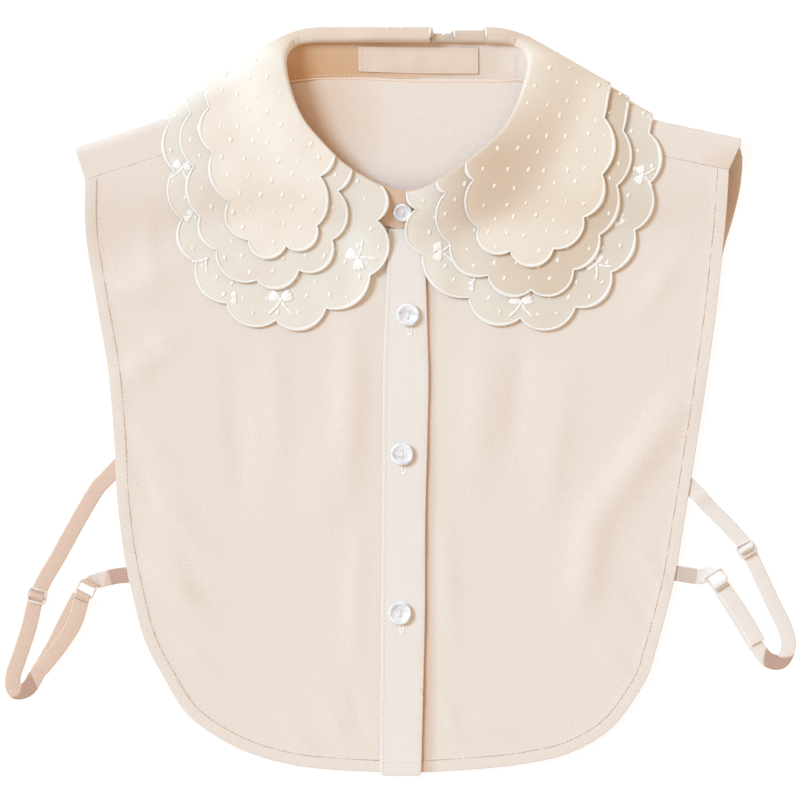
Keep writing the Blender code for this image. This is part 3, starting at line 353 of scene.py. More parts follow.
def fold_place(x, y):
    """Distance in plan to the collar's fold, the height of the fold there and its row number."""
    index = FOLD_TREE.find((x, y, 0.0))[1]
    found = []
    for near in (index - 1, index):
        start, end = FOLD_RING[near], FOLD_RING[(near + 1) % len(FOLD_RING)]
        run_x, run_y = end.x - start.x, end.y - start.y
        share = ((x - start.x) * run_x + (y - start.y) * run_y) / (run_x * run_x + run_y * run_y)
        share = min(max(share, 0.0), 1.0)
        gap = math.hypot(x - start.x - run_x * share, y - start.y - run_y * share)
        found.append((gap, start.z + (end.z - start.z) * share, (near + share) / FOLD_SAMPLES))
    return min(found)


class Shoulder:
    """The straight line over which the back panel comes to the front."""

    def __init__(self, tip, neck_end, sign):
        self.tip = Vector(tip)
        self.along = (Vector(neck_end) - self.tip).normalized()
        self.out = Vector((-self.along.y, self.along.x)) * sign
        self.reach = (Vector(neck_end) - self.tip).length + PAST_NECK

    def measure(self, x, y):
        offset = Vector((x, y)) - self.tip
        return offset.dot(self.along), offset.dot(self.out)

    def at(self, along, out):
        return self.tip + self.along * along + self.out * out

    def unrolled(self, x, y):
        """Where a point of the top strip lies when the back panel is opened out."""
        along, out = self.measure(x, y)
        return self.at(along, math.pi * SHOULDER_ROLL - 2.0 * SHOULDER_ROLL - out)


LEFT_SHOULDER = Shoulder(SHOULDERS["left"]["tip"], SHOULDERS["left"]["neck"], 1.0)
RIGHT_SHOULDER = Shoulder(SHOULDERS["right"]["tip"], SHOULDERS["right"]["neck"], -1.0)


def shoulder_near(x):
    return LEFT_SHOULDER if x < CENTRE_BACK else RIGHT_SHOULDER


def soft_folds(rows, x, y, fade_from, past_ends=math.inf, past_sides=math.inf):
    """Height of the folds at a place: each rises and fades along its line and to its sides."""
    total = 0.0
    for from_x, from_y, to_x, to_y, half_width, height in rows:
        run_x, run_y = to_x - from_x, to_y - from_y
        t = ((x - from_x) * run_x + (y - from_y) * run_y) / (run_x * run_x + run_y * run_y)
        if -past_ends < t < 1.0 + past_ends:
            t = min(max(t, 0.0), 1.0)
            gap = math.hypot(x - from_x - run_x * t, y - from_y - run_y * t)
            if gap < past_sides * half_width:
                fade = math.sin(math.pi * (fade_from + (1.0 - 2.0 * fade_from) * t))
                total += height * fade * math.exp(-((gap / half_width) ** 2))
    return total


def back_height(x, y):
    lift = smooth(y, *LIFT_Y) * (1.0 - smooth(abs(x - CENTRE_BACK), *LIFT_X))
    return BACK_REST + (BACK_OVER_COLLAR - BACK_REST) * lift


def front_height(x, y):
    below_line = -shoulder_near(x).measure(x, y)[1]
    rise = 1.0 - smooth(below_line, SEAM_DEPTH + 2.0, SHOULDER_SLOPE_END)
    resting = back_height(x, y) + FRONT_ON_BACK
    return resting + (SHOULDER_TOP - resting) * rise + soft_folds(RIDGES, x, y, RIDGE_FADE)


def placket_height(x, y):
    return front_height(x, y) + PLACKET_ON_FRONT


def back_surface(x, y):
    """The back panel opened out flat, folded over both shoulders."""
    for shoulder in (LEFT_SHOULDER, RIGHT_SHOULDER):
        along, out = shoulder.measure(x, y)
        if out <= -SHOULDER_ROLL or along > shoulder.reach or y < 100.0:
            continue
        angle = (out + SHOULDER_ROLL) / SHOULDER_ROLL
        start = shoulder.at(along, -SHOULDER_ROLL)
        low = back_height(*start)
        if angle <= math.pi:
            place = shoulder.at(along, -SHOULDER_ROLL + SHOULDER_ROLL * math.sin(angle))
            high = front_height(*start)
            middle, half = (high + low) / 2.0, (high - low) / 2.0
            return Vector((place.x, place.y, middle - half * math.cos(angle)))
        place = shoulder.unrolled(x, y)
        return Vector((place.x, place.y, front_height(place.x, place.y)))
    return Vector((x, y, back_height(x, y)))


class Turn:
    """Nearest place on the line round which the collar turns to the back."""

    def __init__(self):
        self.sides = {}
        for side, corner in TURN_CORNERS.items():
            corner = Vector(corner)
            along = (Vector(TURN_ENDS[side]) - corner).normalized()
            sign = -1.0 if side == "left" else 1.0
            out = Vector((-along.y, along.x)) * sign
            half = math.atan2(abs(out.x), out.y) / 2.0
            tangent = TURN_RADIUS * math.tan(half)
            centre = Vector((corner.x - sign * tangent, corner.y - TURN_RADIUS))
            self.sides[side] = {
                "corner": corner, "along": along, "out": out, "centre": centre, "sign": sign,
            }

    def find(self, x, y):
        """Foot on the line, outward direction and distance beyond it."""
        place = Vector((x, y))
        side = self.sides["left" if x < CENTRE_BACK else "right"]
        offset = place - side["centre"]
        top_gap = y - TURN_TOP
        side_gap = (place - side["corner"]).dot(side["out"])
        beyond_side = offset.dot(side["along"]) > 0.0
        beyond_top = offset.x * side["sign"] < 0.0
        if beyond_side and (not beyond_top or side_gap > top_gap):
            return place - side["out"] * side_gap, side["out"], side_gap
        if beyond_top:
            return Vector((x, TURN_TOP)), Vector((0.0, 1.0)), top_gap
        out = offset.normalized()
        return side["centre"] + out * TURN_RADIUS, out, offset.length - TURN_RADIUS


TURN = Turn()


def fall_height(x, y):
    """Height of the under layer where it lies over the stand, the shoulders and the fronts."""
    distance, fold_z, _ = fold_place(x, y)
    over_placket = PLACKET_REST * (1.0 - smooth(abs(x - 2.0), *PLACKET_HALF))
    rest = front_height(x, y) + FALL_REST + over_placket
    share = min(distance / FALL_LENGTH, 1.0)
    roll = 0.5 + 0.5 * math.cos(math.pi * share)
    return rest + max(fold_z - rest, 0.0) * roll


def collar_surface(x, y):
    """The under layer opened out flat beyond the turn, folded round it."""
    foot, out, beyond = TURN.find(x, y)
    across = smooth(abs(foot.x - CENTRE_BACK), *TURN_DEPTH_X)
    depth = TURN_DEPTH[0] + (TURN_DEPTH[1] - TURN_DEPTH[0]) * across
    if beyond <= -depth:
        return Vector((x, y, fall_height(x, y)))
    start = foot - out * depth
    high = fall_height(*start)
    middle, half = (high + COLLAR_BELOW) / 2.0, (high - COLLAR_BELOW) / 2.0
    angle = (beyond + depth) / TURN_STRETCH
    if angle <= math.pi:
        place = start + out * depth * math.sin(angle)
        return Vector((place.x, place.y, middle + half * math.cos(angle)))
    lean = math.atan2(out.x, out.y) * BELOW_LEAN
    inward = Vector((-math.sin(lean), -math.cos(lean)))
    place = start + inward * (beyond + depth - math.pi * TURN_STRETCH)
    return Vector((place.x, place.y, COLLAR_BELOW))


def normal_of(surface, x, y):
    across = surface(x + SLOPE_STEP, y) - surface(x - SLOPE_STEP, y)
    up = surface(x, y + SLOPE_STEP) - surface(x, y - SLOPE_STEP)
    return across.cross(up).normalized()


def plain_surface(height):
    return lambda x, y: Vector((x, y, height(x, y)))


INWARD_PLACE = Vector((0.0, 20.0))


def pulled_in(path, inset):
    """A path moved sideways into the garment, keeping its shape."""
    moved = []
    for i, (x, y) in enumerate(path):
        ahead = Vector(path[min(i + 1, len(path) - 1)]) - Vector(path[max(i - 1, 0)])
        side = Vector((-ahead.y, ahead.x)).normalized() * inset
        if side.dot(INWARD_PLACE - Vector((x, y))) < 0.0:
            side = -side
        moved.append((x + side.x, y + side.y))
    return moved


def neck_edge(start, end, gap, pieces):
    """The panels' edge along the stand's seam, a gap outside it."""
    edge = []
    for k in range(pieces + 1):
        t = start + (end - start) * k / pieces
        place = seam_point(t) + outward(seam_point, t) * gap
        edge.append((place.x, place.y))
    return edge


def seam_ends(shoulder, inset, neck_end):
    """Ends of the forward seam: at the armhole, and at the neck."""
    armhole = shoulder.at(inset, -SEAM_DEPTH)
    along = shoulder.measure(*neck_end)[0]
    return tuple(armhole), tuple(shoulder.at(along, -SEAM_DEPTH))


# Where the panels' edges run along the neck, as row numbers, and how far from the stand's seam
NECK_SEAM_ROWS = {"left": 3.62, "right": 12.3}
NECK_ROLL_ROWS = {"left": 4.7, "right": 11.2}
STAND_CLEAR = 1.0
FRONT_NECK_Y = 86.5
FRONT_NECK_PIECES = 14
BACK_NECK_ROWS = (10.5, 5.5)
BACK_NECK_PIECES = 12
BACK_NECK_GAP = -1.5
ROLL_STEP = 2.4


def front_outline(side, rows, centre_x, centre_top_row):
    """A front's outline, and the part of it that is hemmed."""
    shoulder = LEFT_SHOULDER if side == "left" else RIGHT_SHOULDER
    inset = SHOULDERS[side]["armhole_inset"]
    edge = neck_edge(NECK_SEAM_ROWS[side], centre_top_row, STAND_CLEAR, FRONT_NECK_PIECES)
    top = seam_ends(shoulder, inset, edge[0])
    below = shoulder.out * -SEAM_GAP
    outer = (top[0][0] + below.x, top[0][1] + below.y)
    inner = (top[1][0] + below.x, top[1][1] + below.y)
    edge = [p for p in edge if shoulder.measure(*p)[1] < -SEAM_DEPTH - 3.0]
    edge = [p for p in edge if (p[0] - centre_x) * (1.0 if side == "right" else -1.0) > 3.0]
    sides = curve([outer] + rows[1:], PANEL_STEP)
    foot = (centre_x, rows[-1][1])
    head = (centre_x, FRONT_NECK_Y)
    outline = sides[:-1] + line(foot, head, PANEL_STEP)
    outline += [head] + edge[::-1] + line(inner, outer, PANEL_STEP)
    return outline, sides


def back_outline():
    left = pulled_in(curve(BACK_LEFT_ARMHOLE + LEFT_SIDE[1:], PANEL_STEP), BACK_INSET)
    right = pulled_in(curve(BACK_RIGHT_ARMHOLE + RIGHT_SIDE[3:], PANEL_STEP), BACK_INSET)
    outline = left[:-1] + right[::-1][:-1]
    for side, shoulder in (("right", RIGHT_SHOULDER), ("left", LEFT_SHOULDER)):
        inset = SHOULDERS[side]["armhole_inset"]
        strip = neck_edge(NECK_SEAM_ROWS[side], NECK_ROLL_ROWS[side], STAND_CLEAR, 3)
        armhole, inner = seam_ends(shoulder, inset, strip[0])
        strip = [p for p in strip if -SEAM_DEPTH + 2.0 < shoulder.measure(*p)[1] < -SHOULDER_ROLL - 1.0]
        neck_along = shoulder.measure(*strip[-1])[0]
        far = math.pi * SHOULDER_ROLL - SHOULDER_ROLL
        path = line(shoulder.at(0.0, -SHOULDER_ROLL), shoulder.at(0.0, far), ROLL_STEP)
        path += line(shoulder.at(0.0, far), shoulder.unrolled(*armhole), PANEL_STEP)
        path += line(shoulder.unrolled(*armhole), shoulder.unrolled(*inner), PANEL_STEP)
        path += [tuple(shoulder.unrolled(*inner))]
        path += [tuple(shoulder.unrolled(*p)) for p in strip]
        path += line(shoulder.at(neck_along, far), shoulder.at(neck_along, -SHOULDER_ROLL), ROLL_STEP)
        path += [tuple(shoulder.at(neck_along, -SHOULDER_ROLL))]
        outline += path if side == "right" else path[::-1]
        if side == "right":
            for k in range(BACK_NECK_PIECES + 1):
                t = BACK_NECK_ROWS[0] + (BACK_NECK_ROWS[1] - BACK_NECK_ROWS[0]) * k / BACK_NECK_PIECES
                place = seam_point(t)
                outline.append((place.x, place.y - BACK_NECK_GAP))
    return outline


def over_placket_outline():
    left, right = PLACKET_LEFT[-1][0] + FOOT_INSET, PLACKET_RIGHT[-1][0] - FOOT_INSET
    foot = [(left, PLACKET_FOOT), (right, PLACKET_FOOT)]
    return curve(PLACKET_LEFT, PANEL_STEP) + foot + curve(PLACKET_RIGHT, PANEL_STEP)[::-1]


def under_placket_outline():
    left, right = UNDER_PLACKET_EDGES
    corners = [(left, PLACKET_TOP), (left, FRONT_FOOT), (right, FRONT_FOOT), (right, PLACKET_TOP)]
    return dense(corners + corners[:1], PANEL_STEP)[:-1]


def stand_surface(t, up):
    """The stand at row number t, from its seam (0) to just below the collar's fold (1)."""
    drop = UNDER_END_DROP * smooth(t, *UNDER_END_RAMP)
    seam = seam_point(t)
    top = fold_point(t) - outward(fold_point, t) * STAND_INSET - Vector((0.0, 0.0, STAND_DROP))
    return seam.lerp(top, up) - Vector((0.0, 0.0, drop))


def stand_out(t, up):
    """The stand's direction away from the neck."""
    around = stand_surface(t + SLOPE_STEP, up) - stand_surface(t - SLOPE_STEP, up)
    rise = stand_surface(t, up + SLOPE_STEP) - stand_surface(t, up - SLOPE_STEP)
    return rise.cross(around).normalized()


def scallop(start, end, bulge, side):
    """Points on a round scallop from one cusp towards the next, without its end."""
    start, end = Vector(start), Vector(end)
    chord = end - start
    out = Vector((chord.y, -chord.x)).normalized() * side
    half = chord.length / 2.0
    radius = (half * half + bulge * bulge) / (2.0 * bulge)
    reach = math.asin(min(half / radius, 1.0))
    if bulge > half:
        reach = math.pi - reach
    centre = (start + end) / 2.0 + out * (bulge - radius)
    points = []
    for k in range(SCALLOP_SEGMENTS):
        angle = -reach + 2.0 * reach * k / SCALLOP_SEGMENTS
        place = centre + out * radius * math.cos(angle) + chord.normalized() * radius * math.sin(angle)
        points.append(tuple(place))
    return points


def collar_outline(spec):
    """Round one layer, opened out, and the part of it with scallops."""
    front_t, back_t = spec["fold"]
    side = spec["side"]
    low, high = sorted((front_t, back_t))
    stations = [k / FOLD_PIECES for k in range(len(NECK) * FOLD_PIECES)]
    stations = [low] + [t for t in stations if low + 0.1 < t < high - 0.1] + [high]
    if back_t > front_t:
        stations.reverse()
    fold = [tuple(fold_point(t).xy) for t in stations]
    cusps = [fold[-1]] + [row[:2] for row in spec["cusps"]]
    bulges = [spec["first_bulge"]] + [row[2] for row in spec["cusps"]]
    reach_x, reach_y = spec["beyond"]
    back_x = fold[0][0]
    half_width = abs(side * reach_x - back_x)
    count = MOST_BACK_SCALLOPS - spec["level"]
    for k in range(1, count + 1):
        angle = math.radians(90.0 * k / count)
        x = back_x + side * half_width * math.cos(angle)
        cusps.append((x, BEYOND_CENTRE_Y + reach_y * math.sin(angle)))
        bulges.append(BACK_BULGE)
    corner = Vector(cusps[-1])
    for k in range(1, END_SCALLOPS + 1):
        bulges[-1] = END_BULGE
        cusps.append(tuple(corner.lerp(Vector(fold[0]), k / END_SCALLOPS)))
        bulges.append(END_BULGE)
    outline = []
    for i in range(len(cusps) - 1):
        outline += scallop(cusps[i], cusps[i + 1], bulges[i], side)
    outline.append(fold[0])
    return outline + fold[1:-1], outline


# Camera, light and floor


def linked(name, data):
    """A new object in the scene."""
    made = bpy.data.objects.new(name, data)
    bpy.context.scene.collection.objects.link(made)
    return made


CAMERA_HEIGHT = 3000.0
VIEW_WIDTH = 400.0
VIEW_CENTRE_Y = 0.5
CLIP_END = 20.0
SENSOR = 36.0


def camera():
    data = bpy.data.cameras.new("camera")
    data.sensor_width = SENSOR
    data.lens = SENSOR * CAMERA_HEIGHT / VIEW_WIDTH
    data.clip_end = CLIP_END
    eye = linked("camera", data)
    eye.location = (0.0, VIEW_CENTRE_Y * MM, CAMERA_HEIGHT * MM)
    bpy.context.scene.camera = eye


KEY_STRENGTH = 2.82
KEY_SOFTNESS = 22.0
KEY_FROM = (-0.74, 0.36, 0.72)
KEY_COLOUR = (0.51, 0.76, 1.0)
SKY_STRENGTH = 0.72
SKY_COLOUR = (1.0, 0.8, 0.62)


def light():
    data = bpy.data.lights.new("window", "SUN")
    data.energy = KEY_STRENGTH
    data.angle = math.radians(KEY_SOFTNESS)
    data.color = KEY_COLOUR
    window = linked("window", data)
    window.rotation_mode = "QUATERNION"
    window.rotation_quaternion = Vector(KEY_FROM).to_track_quat("Z", "Y")
    world = bpy.data.worlds.new("studio")
    world.use_nodes = True
    sky = world.node_tree.nodes["Background"]
    sky.inputs["Color"].default_value = (*SKY_COLOUR, 1.0)
    sky.inputs["Strength"].default_value = SKY_STRENGTH
    bpy.context.scene.world = world
    bpy.context.scene.view_settings.view_transform = "Standard"


# Materials

FINISHES = {}
INPUTS = {
    "roughness": "Roughness",
    "specular": "Specular IOR Level",
    "sheen": "Sheen Weight",
    "sheen_roughness": "Sheen Roughness",
    "coat": "Coat Weight",
    "coat_roughness": "Coat Roughness",
    "emission": "Emission Strength",
    "emission_colour": "Emission Color",
    "cover": "Alpha",
}


class Finish:
    """A Principled material with short calls for its pattern nodes."""

    def __init__(self, name, colour, **constants):
        self.material = bpy.data.materials.new(name)
        self.material.use_nodes = True
        self.tree = self.material.node_tree
        self.shader = self.tree.nodes["Principled BSDF"]
        self.shader.inputs["Base Color"].default_value = (*colour, 1.0)
        for key, value in constants.items():
            self.shader.inputs[INPUTS[key]].default_value = value
        FINISHES[name] = self.material

    def add(self, kind, settings=None, **inputs):
        made = self.tree.nodes.new(kind)
        for key, value in (settings or {}).items():
            setattr(made, key, value)
        for key, value in inputs.items():
            socket = made.inputs[key]
            if isinstance(value, bpy.types.NodeSocket):
                self.tree.links.new(value, socket)
            else:
                socket.default_value = value
        return made

    def place(self, source="Object"):
        return self.add("ShaderNodeTexCoord").outputs[source]

    def noise(self, scale, detail=2.0, stretch=(1.0, 1.0, 1.0), rough=0.5):
        place = self.add("ShaderNodeMapping", Vector=self.place(), Scale=stretch).outputs["Vector"]
        made = self.add("ShaderNodeTexNoise", Vector=place, Scale=scale, Detail=detail, Roughness=rough)
        return made.outputs["Fac"]

    def waves(self, scale, source, direction):
        settings = {"wave_type": "BANDS", "bands_direction": direction, "wave_profile": "SIN"}
        place = self.place(source)
        made = self.add("ShaderNodeTexWave", settings, Vector=place, Scale=scale, Distortion=0.0)
        return made.outputs["Fac"]

    def ribs(self, pitch, direction):
        """Ribs a pitch apart, in millimetres, along the piece's own UV map."""
        return self.waves(math.pi / 10.0 / pitch, "UV", direction)

    def spread(self, value, low, high, to_low=0.0, to_high=1.0):
        ends = {"From Min": low, "From Max": high, "To Min": to_low, "To Max": to_high}
        return self.add("ShaderNodeMapRange", Value=value, **ends).outputs["Result"]

    def mix(self, factor, first, second):
        made = self.add("ShaderNodeMix", {"data_type": "RGBA"})
        for index, value in ((0, factor), (6, first), (7, second)):
            if isinstance(value, bpy.types.NodeSocket):
                self.tree.links.new(value, made.inputs[index])
            elif index:
                made.inputs[index].default_value = (*value, 1.0)
            else:
                made.inputs[index].default_value = value
        return made.outputs[2]

    def colour(self, socket):
        self.tree.links.new(socket, self.shader.inputs["Base Color"])

    def bump(self, *layers):
        """Bump layers as (height socket, strength, distance in millimetres), the broadest first."""
        normal = None
        for height, strength, distance in layers:
            made = self.add("ShaderNodeBump", Height=height, Strength=strength, Distance=distance * MM)
            if normal:
                self.tree.links.new(normal, made.inputs["Normal"])
            normal = made.outputs["Normal"]
        self.tree.links.new(normal, self.shader.inputs["Normal"])

    def along(self, axis, low, high, to_low=0.0, to_high=1.0):
        """A value that runs from one place to another along an axis, in millimetres."""
        place = self.add("ShaderNodeSeparateXYZ", Vector=self.place()).outputs[axis]
        return self.spread(place, low * MM, high * MM, to_low, to_high)

    def near(self, centre, reach, strength):
        """The strength near a place in the plan, fading to 0 at the far reach, in millimetres."""
        offset = Vector((*centre, 0.0)) * -MM
        offset = self.add("ShaderNodeMapping", Vector=self.place(), Location=offset, Scale=(1.0, 1.0, 0.0))
        away = self.add("ShaderNodeVectorMath", {"operation": "LENGTH"}, Vector=offset.outputs["Vector"])
        return self.spread(away.outputs["Value"], reach[0] * MM, reach[1] * MM, strength, 0.0)

    def own(self, attribute):
        """A value from 0 to 1 that the piece itself carries."""
        return self.add("ShaderNodeAttribute", {"attribute_name": attribute}).outputs["Fac"]


# Painted shade, in millimetres: warm shade inside the neck and at the armhole, a shadow beside the placket
SHADE_CENTRE = (-52.0, 140.0)
SHADE_REACH = (8.0, 48.0)
STAND_SHADE_REACH = (20.0, 110.0)
ARMHOLE_SHADE_CENTRE = (168.0, 104.0)
ARMHOLE_SHADE_REACH = (4.0, 26.0)
SHADE_TONE = (0.66, 0.36, 0.16)
PLACKET_SHADOW_SPAN = (12.5, 19.0)
PLACKET_SHADOW_TONE = (0.70, 0.47, 0.33)


def crepe(name, light_tone, deep_tone, shades=(), placket_shadow=0.0):
    """Crepe: a fine irregular pebble, faintly mottled, with a soft nap and perhaps painted shade in places.
    """
    made = Finish(name, light_tone, roughness=0.88, specular=0.22, sheen=0.12, sheen_roughness=0.6)
    pebble = made.noise(1150.0, 3.0, (1.0, 1.25, 1.0), 0.65)
    grain = made.noise(2600.0, 2.0)
    cloud = made.noise(14.0, 2.0)
    tone = made.mix(made.spread(pebble, 0.3, 0.7, 0.0, 1.0), light_tone, deep_tone)
    tone = made.mix(made.spread(cloud, 0.3, 0.7, 0.0, 0.35), tone, deep_tone)
    # Painted warm shade, strongest at each centre
    for centre, reach, strength in shades:
        tone = made.mix(made.near(centre, reach, strength), tone, SHADE_TONE)
    # Painted shadow cast by the placket's free edge onto the right front
    if placket_shadow:
        tone = made.mix(made.along("X", *PLACKET_SHADOW_SPAN, placket_shadow, 0.0), tone, PLACKET_SHADOW_TONE)
    made.colour(tone)
    made.bump((pebble, 0.7, 0.3), (grain, 0.35, 0.12))


# Painted shade on the organza by place, in millimetres: to the right, in the right collar's valley, on the
# rim
WEAVE_SCALE = 1500.0
RIGHT_SHADE_X = (15.0, 70.0)
VALLEY_SHADE_CENTRE = (44.0, 122.0)
VALLEY_SHADE_REACH = (6.0, 40.0)
VALLEY_SHADE_STRENGTH = 0.75
VALLEY_SHADE_TONE = (0.68, 0.49, 0.34)
RIM_SHADE_Y = (173.0, 182.0)
RIM_SHADE_STRENGTH = 0.75
RIM_SHADE_TONE = (0.74, 0.56, 0.43)


def organza(name, light_tone, deep_tone, cover, right_shade_tone):
    """Organza: faintly see-through, thin, with a fine even weave; painted shade to the right and in places.
    """
    made = Finish(name, light_tone, cover=cover, roughness=0.62, specular=0.3, sheen=0.2,
                  sheen_roughness=0.4)
    warp = made.waves(WEAVE_SCALE, "Object", "X")
    weft = made.waves(WEAVE_SCALE, "Object", "Y")
    weave = made.add("ShaderNodeMath", {"operation": "MULTIPLY"})
    made.tree.links.new(warp, weave.inputs[0])
    made.tree.links.new(weft, weave.inputs[1])
    cloud = made.noise(60.0, 3.0)
    tone = made.mix(made.spread(cloud, 0.35, 0.65), light_tone, deep_tone)
    # Painted shade: deeper to the right, in the right collar's valley and along the rim
    tone = made.mix(made.along("X", *RIGHT_SHADE_X), tone, right_shade_tone)
    tone = made.mix(made.near(VALLEY_SHADE_CENTRE, VALLEY_SHADE_REACH, VALLEY_SHADE_STRENGTH), tone, VALLEY_SHADE_TONE)
    made.colour(made.mix(made.along("Y", *RIM_SHADE_Y, 0.0, RIM_SHADE_STRENGTH), tone, RIM_SHADE_TONE))
    made.bump((cloud, 0.12, 0.5), (weave.outputs[0], 0.12, 0.08))


def satin(name, tone, deep_tone):
    """Satin stitch: close threads across the edge with a silky shine."""
    made = Finish(name, tone, roughness=0.5, specular=0.45, sheen=0.3, sheen_roughness=0.3)
    threads = made.ribs(0.45, "X")
    made.colour(made.mix(made.spread(threads, 0.0, 0.6), deep_tone, tone))
    made.bump((threads, 0.5, 0.12))


def thread(name, tone):
    made = Finish(name, tone, roughness=0.6, specular=0.3, sheen=0.25)
    twist = made.noise(2400.0, 1.0, (1.0, 2.0, 1.0))
    made.bump((twist, 0.4, 0.1))


def pearl(name):
    """Pearl plastic with soft slanting bands of light and grey."""
    made = Finish(name, (0.86, 0.86, 0.87), roughness=0.2, specular=0.55, coat=0.7, coat_roughness=0.08)
    cloud = made.noise(170.0, 3.0, (1.0, 2.2, 1.0))
    made.colour(made.mix(made.spread(cloud, 0.4, 0.62), (0.95, 0.95, 0.95), (0.72, 0.73, 0.77)))
    made.bump((cloud, 0.15, 0.3))


def elastic(name):
    """Ribbed elastic tape: fine ribs along it, crossed by a close weave, with painted shade."""
    made = Finish(name, (0.8, 0.62, 0.5), roughness=0.7, specular=0.3, sheen=0.3, sheen_roughness=0.5)
    ribs = made.ribs(0.85, "Y")
    picks = made.ribs(0.7, "X")
    # Painted shade across the straps: darker and warmer to the left, paler to the right
    tone = made.mix(made.along("X", -150.0, 150.0), (0.83, 0.62, 0.49), (0.95, 0.89, 0.83))
    # Painted shade at the tape's turns and where it slips under a panel, partly its darker underside
    tone = made.mix(made.own("under"), tone, (0.52, 0.31, 0.23))
    tone = made.mix(made.own("pale"), tone, (0.93, 0.87, 0.83))
    made.colour(made.mix(made.spread(picks, 0.0, 1.0, 0.0, 0.3), tone, (0.62, 0.42, 0.32)))
    made.bump((ribs, 0.5, 0.25), (picks, 0.6, 0.15))


def clear_plastic(name):
    made = Finish(name, (0.95, 0.86, 0.82), cover=0.72, roughness=0.12, specular=0.6, coat=0.5,
                  coat_roughness=0.05)
    cloud = made.noise(220.0, 1.0)
    made.colour(made.mix(made.spread(cloud, 0.35, 0.65), (0.98, 0.93, 0.9), (0.88, 0.74, 0.67)))


def ribbon_label(name):
    """Bare woven label: fine satin ribs along its length."""
    made = Finish(name, (0.79, 0.62, 0.5), roughness=0.6, specular=0.35, sheen=0.2)
    ribs = made.waves(900.0, "Object", "Y")
    cloud = made.noise(110.0, 2.0)
    made.colour(made.mix(made.spread(cloud, 0.3, 0.7), (0.83, 0.665, 0.545), (0.79, 0.62, 0.50)))
    made.bump((ribs, 0.25, 0.1))


def pale_floor(name):
    white = (1.0, 1.0, 1.0, 1.0)
    Finish(name, (0.2, 0.2, 0.2), roughness=0.9, specular=0.0, emission=0.86, emission_colour=white)


CREPE_TONES = ((0.885, 0.785, 0.70), (0.81, 0.70, 0.61))
crepe("crepe", *CREPE_TONES)
# The right front, with the placket's painted shadow
crepe("crepe_placket_shadow", *CREPE_TONES, placket_shadow=0.85)
crepe("crepe_placket", (0.895, 0.825, 0.76), (0.835, 0.755, 0.685))
# The back, with painted warm shade inside the neck and at the right armhole
crepe("crepe_back", *CREPE_TONES, [(SHADE_CENTRE, SHADE_REACH, 0.5), (ARMHOLE_SHADE_CENTRE, ARMHOLE_SHADE_REACH, 0.45)])
# The stand: tones darker than the crepe, and warm shade inside the neck, all painted shade
crepe("crepe_stand", (0.86, 0.75, 0.65), (0.79, 0.67, 0.57), [(SHADE_CENTRE, STAND_SHADE_REACH, 0.95)])
thread("piping", (0.90, 0.70, 0.55))
# The last tone of each organza is its painted shade to the right
organza("organza_top", (0.95, 0.865, 0.76), (0.915, 0.82, 0.705), 0.95, (0.89, 0.78, 0.65))
organza("organza_middle", (0.95, 0.87, 0.77), (0.92, 0.83, 0.72), 0.84, (0.81, 0.67, 0.52))
organza("organza_sheer", (1.0, 0.95, 0.85), (0.98, 0.91, 0.80), 0.70, (0.93, 0.84, 0.72))
satin("satin_edge", (0.97, 0.935, 0.88), (0.90, 0.84, 0.76))
thread("thread", (0.80, 0.68, 0.58))
# seam: a dark tone for the painted shadow line along the turned hems
thread("seam", (0.56, 0.42, 0.32))
thread("clip_thread", (0.955, 0.895, 0.80))
thread("white_thread", (0.96, 0.93, 0.89))
pearl("pearl")
elastic("elastic")
clear_plastic("clear")
ribbon_label("label")
pale_floor("floor")


# Making pieces


def finish_piece(name, shape, finish, node=None):
    """Writes a shape in millimetres as a named piece of the garment, perhaps in a CAD node's place."""
    bmesh.ops.scale(shape, verts=shape.verts, vec=(MM, MM, MM))
    mesh = bpy.data.meshes.new(name)
    shape.to_mesh(mesh)
    shape.free()
    mesh.materials.append(FINISHES[finish])
    mesh.shade_smooth()
    piece = linked(name, mesh)
    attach(piece, "root")
    if node:
        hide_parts(node)
    return piece


def give_wall(shape, thickness):
    """Makes a sheet a closed wall with a rounded edge, as turned or sewn cloth has."""
    shape.normal_update()
    half = thickness / 2.0
    faces = shape.faces[:]
    uv = shape.loops.layers.uv.active
    rim = [edge.link_loops[0] for edge in shape.edges if edge.is_boundary]
    sides = {}
    for loop in rim:
        start, end = loop.vert, loop.link_loop_next.vert
        side = (end.co - start.co).cross(loop.face.normal)
        for vert in (start, end):
            sides[vert] = sides.get(vert, Vector((0.0, 0.0, 0.0))) + side
    rim = [(loop.vert, loop.link_loop_next.vert) for loop in rim]
    middle = {}
    for vert, side in sides.items():
        middle[vert] = shape.verts.new(vert.co + side.normalized() * half * 0.9, vert)
    below = {}
    for vert in {vert for face in faces for vert in face.verts}:
        out = vert.normal * half
        below[vert] = shape.verts.new(vert.co - out, vert)
        vert.co += out
    for face in faces:
        made = shape.faces.new([below[vert] for vert in reversed(face.verts)])
        if uv:
            for loop, partner in zip(made.loops, reversed(face.loops[:])):
                loop[uv].uv = partner[uv].uv
    for start, end in rim:
        shape.faces.new((end, start, middle[start], middle[end]))
        shape.faces.new((middle[end], middle[start], below[start], below[end]))
        shape.edges.get((start, end)).smooth = False
        shape.edges.get((below[start], below[end])).smooth = False


def area_of(outline):
    total = 0.0
    for (ax, ay), (bx, by) in zip(outline, outline[1:] + outline[:1]):
        total += ax * by - bx * ay
    return total / 2.0


SLIVER = 0.06


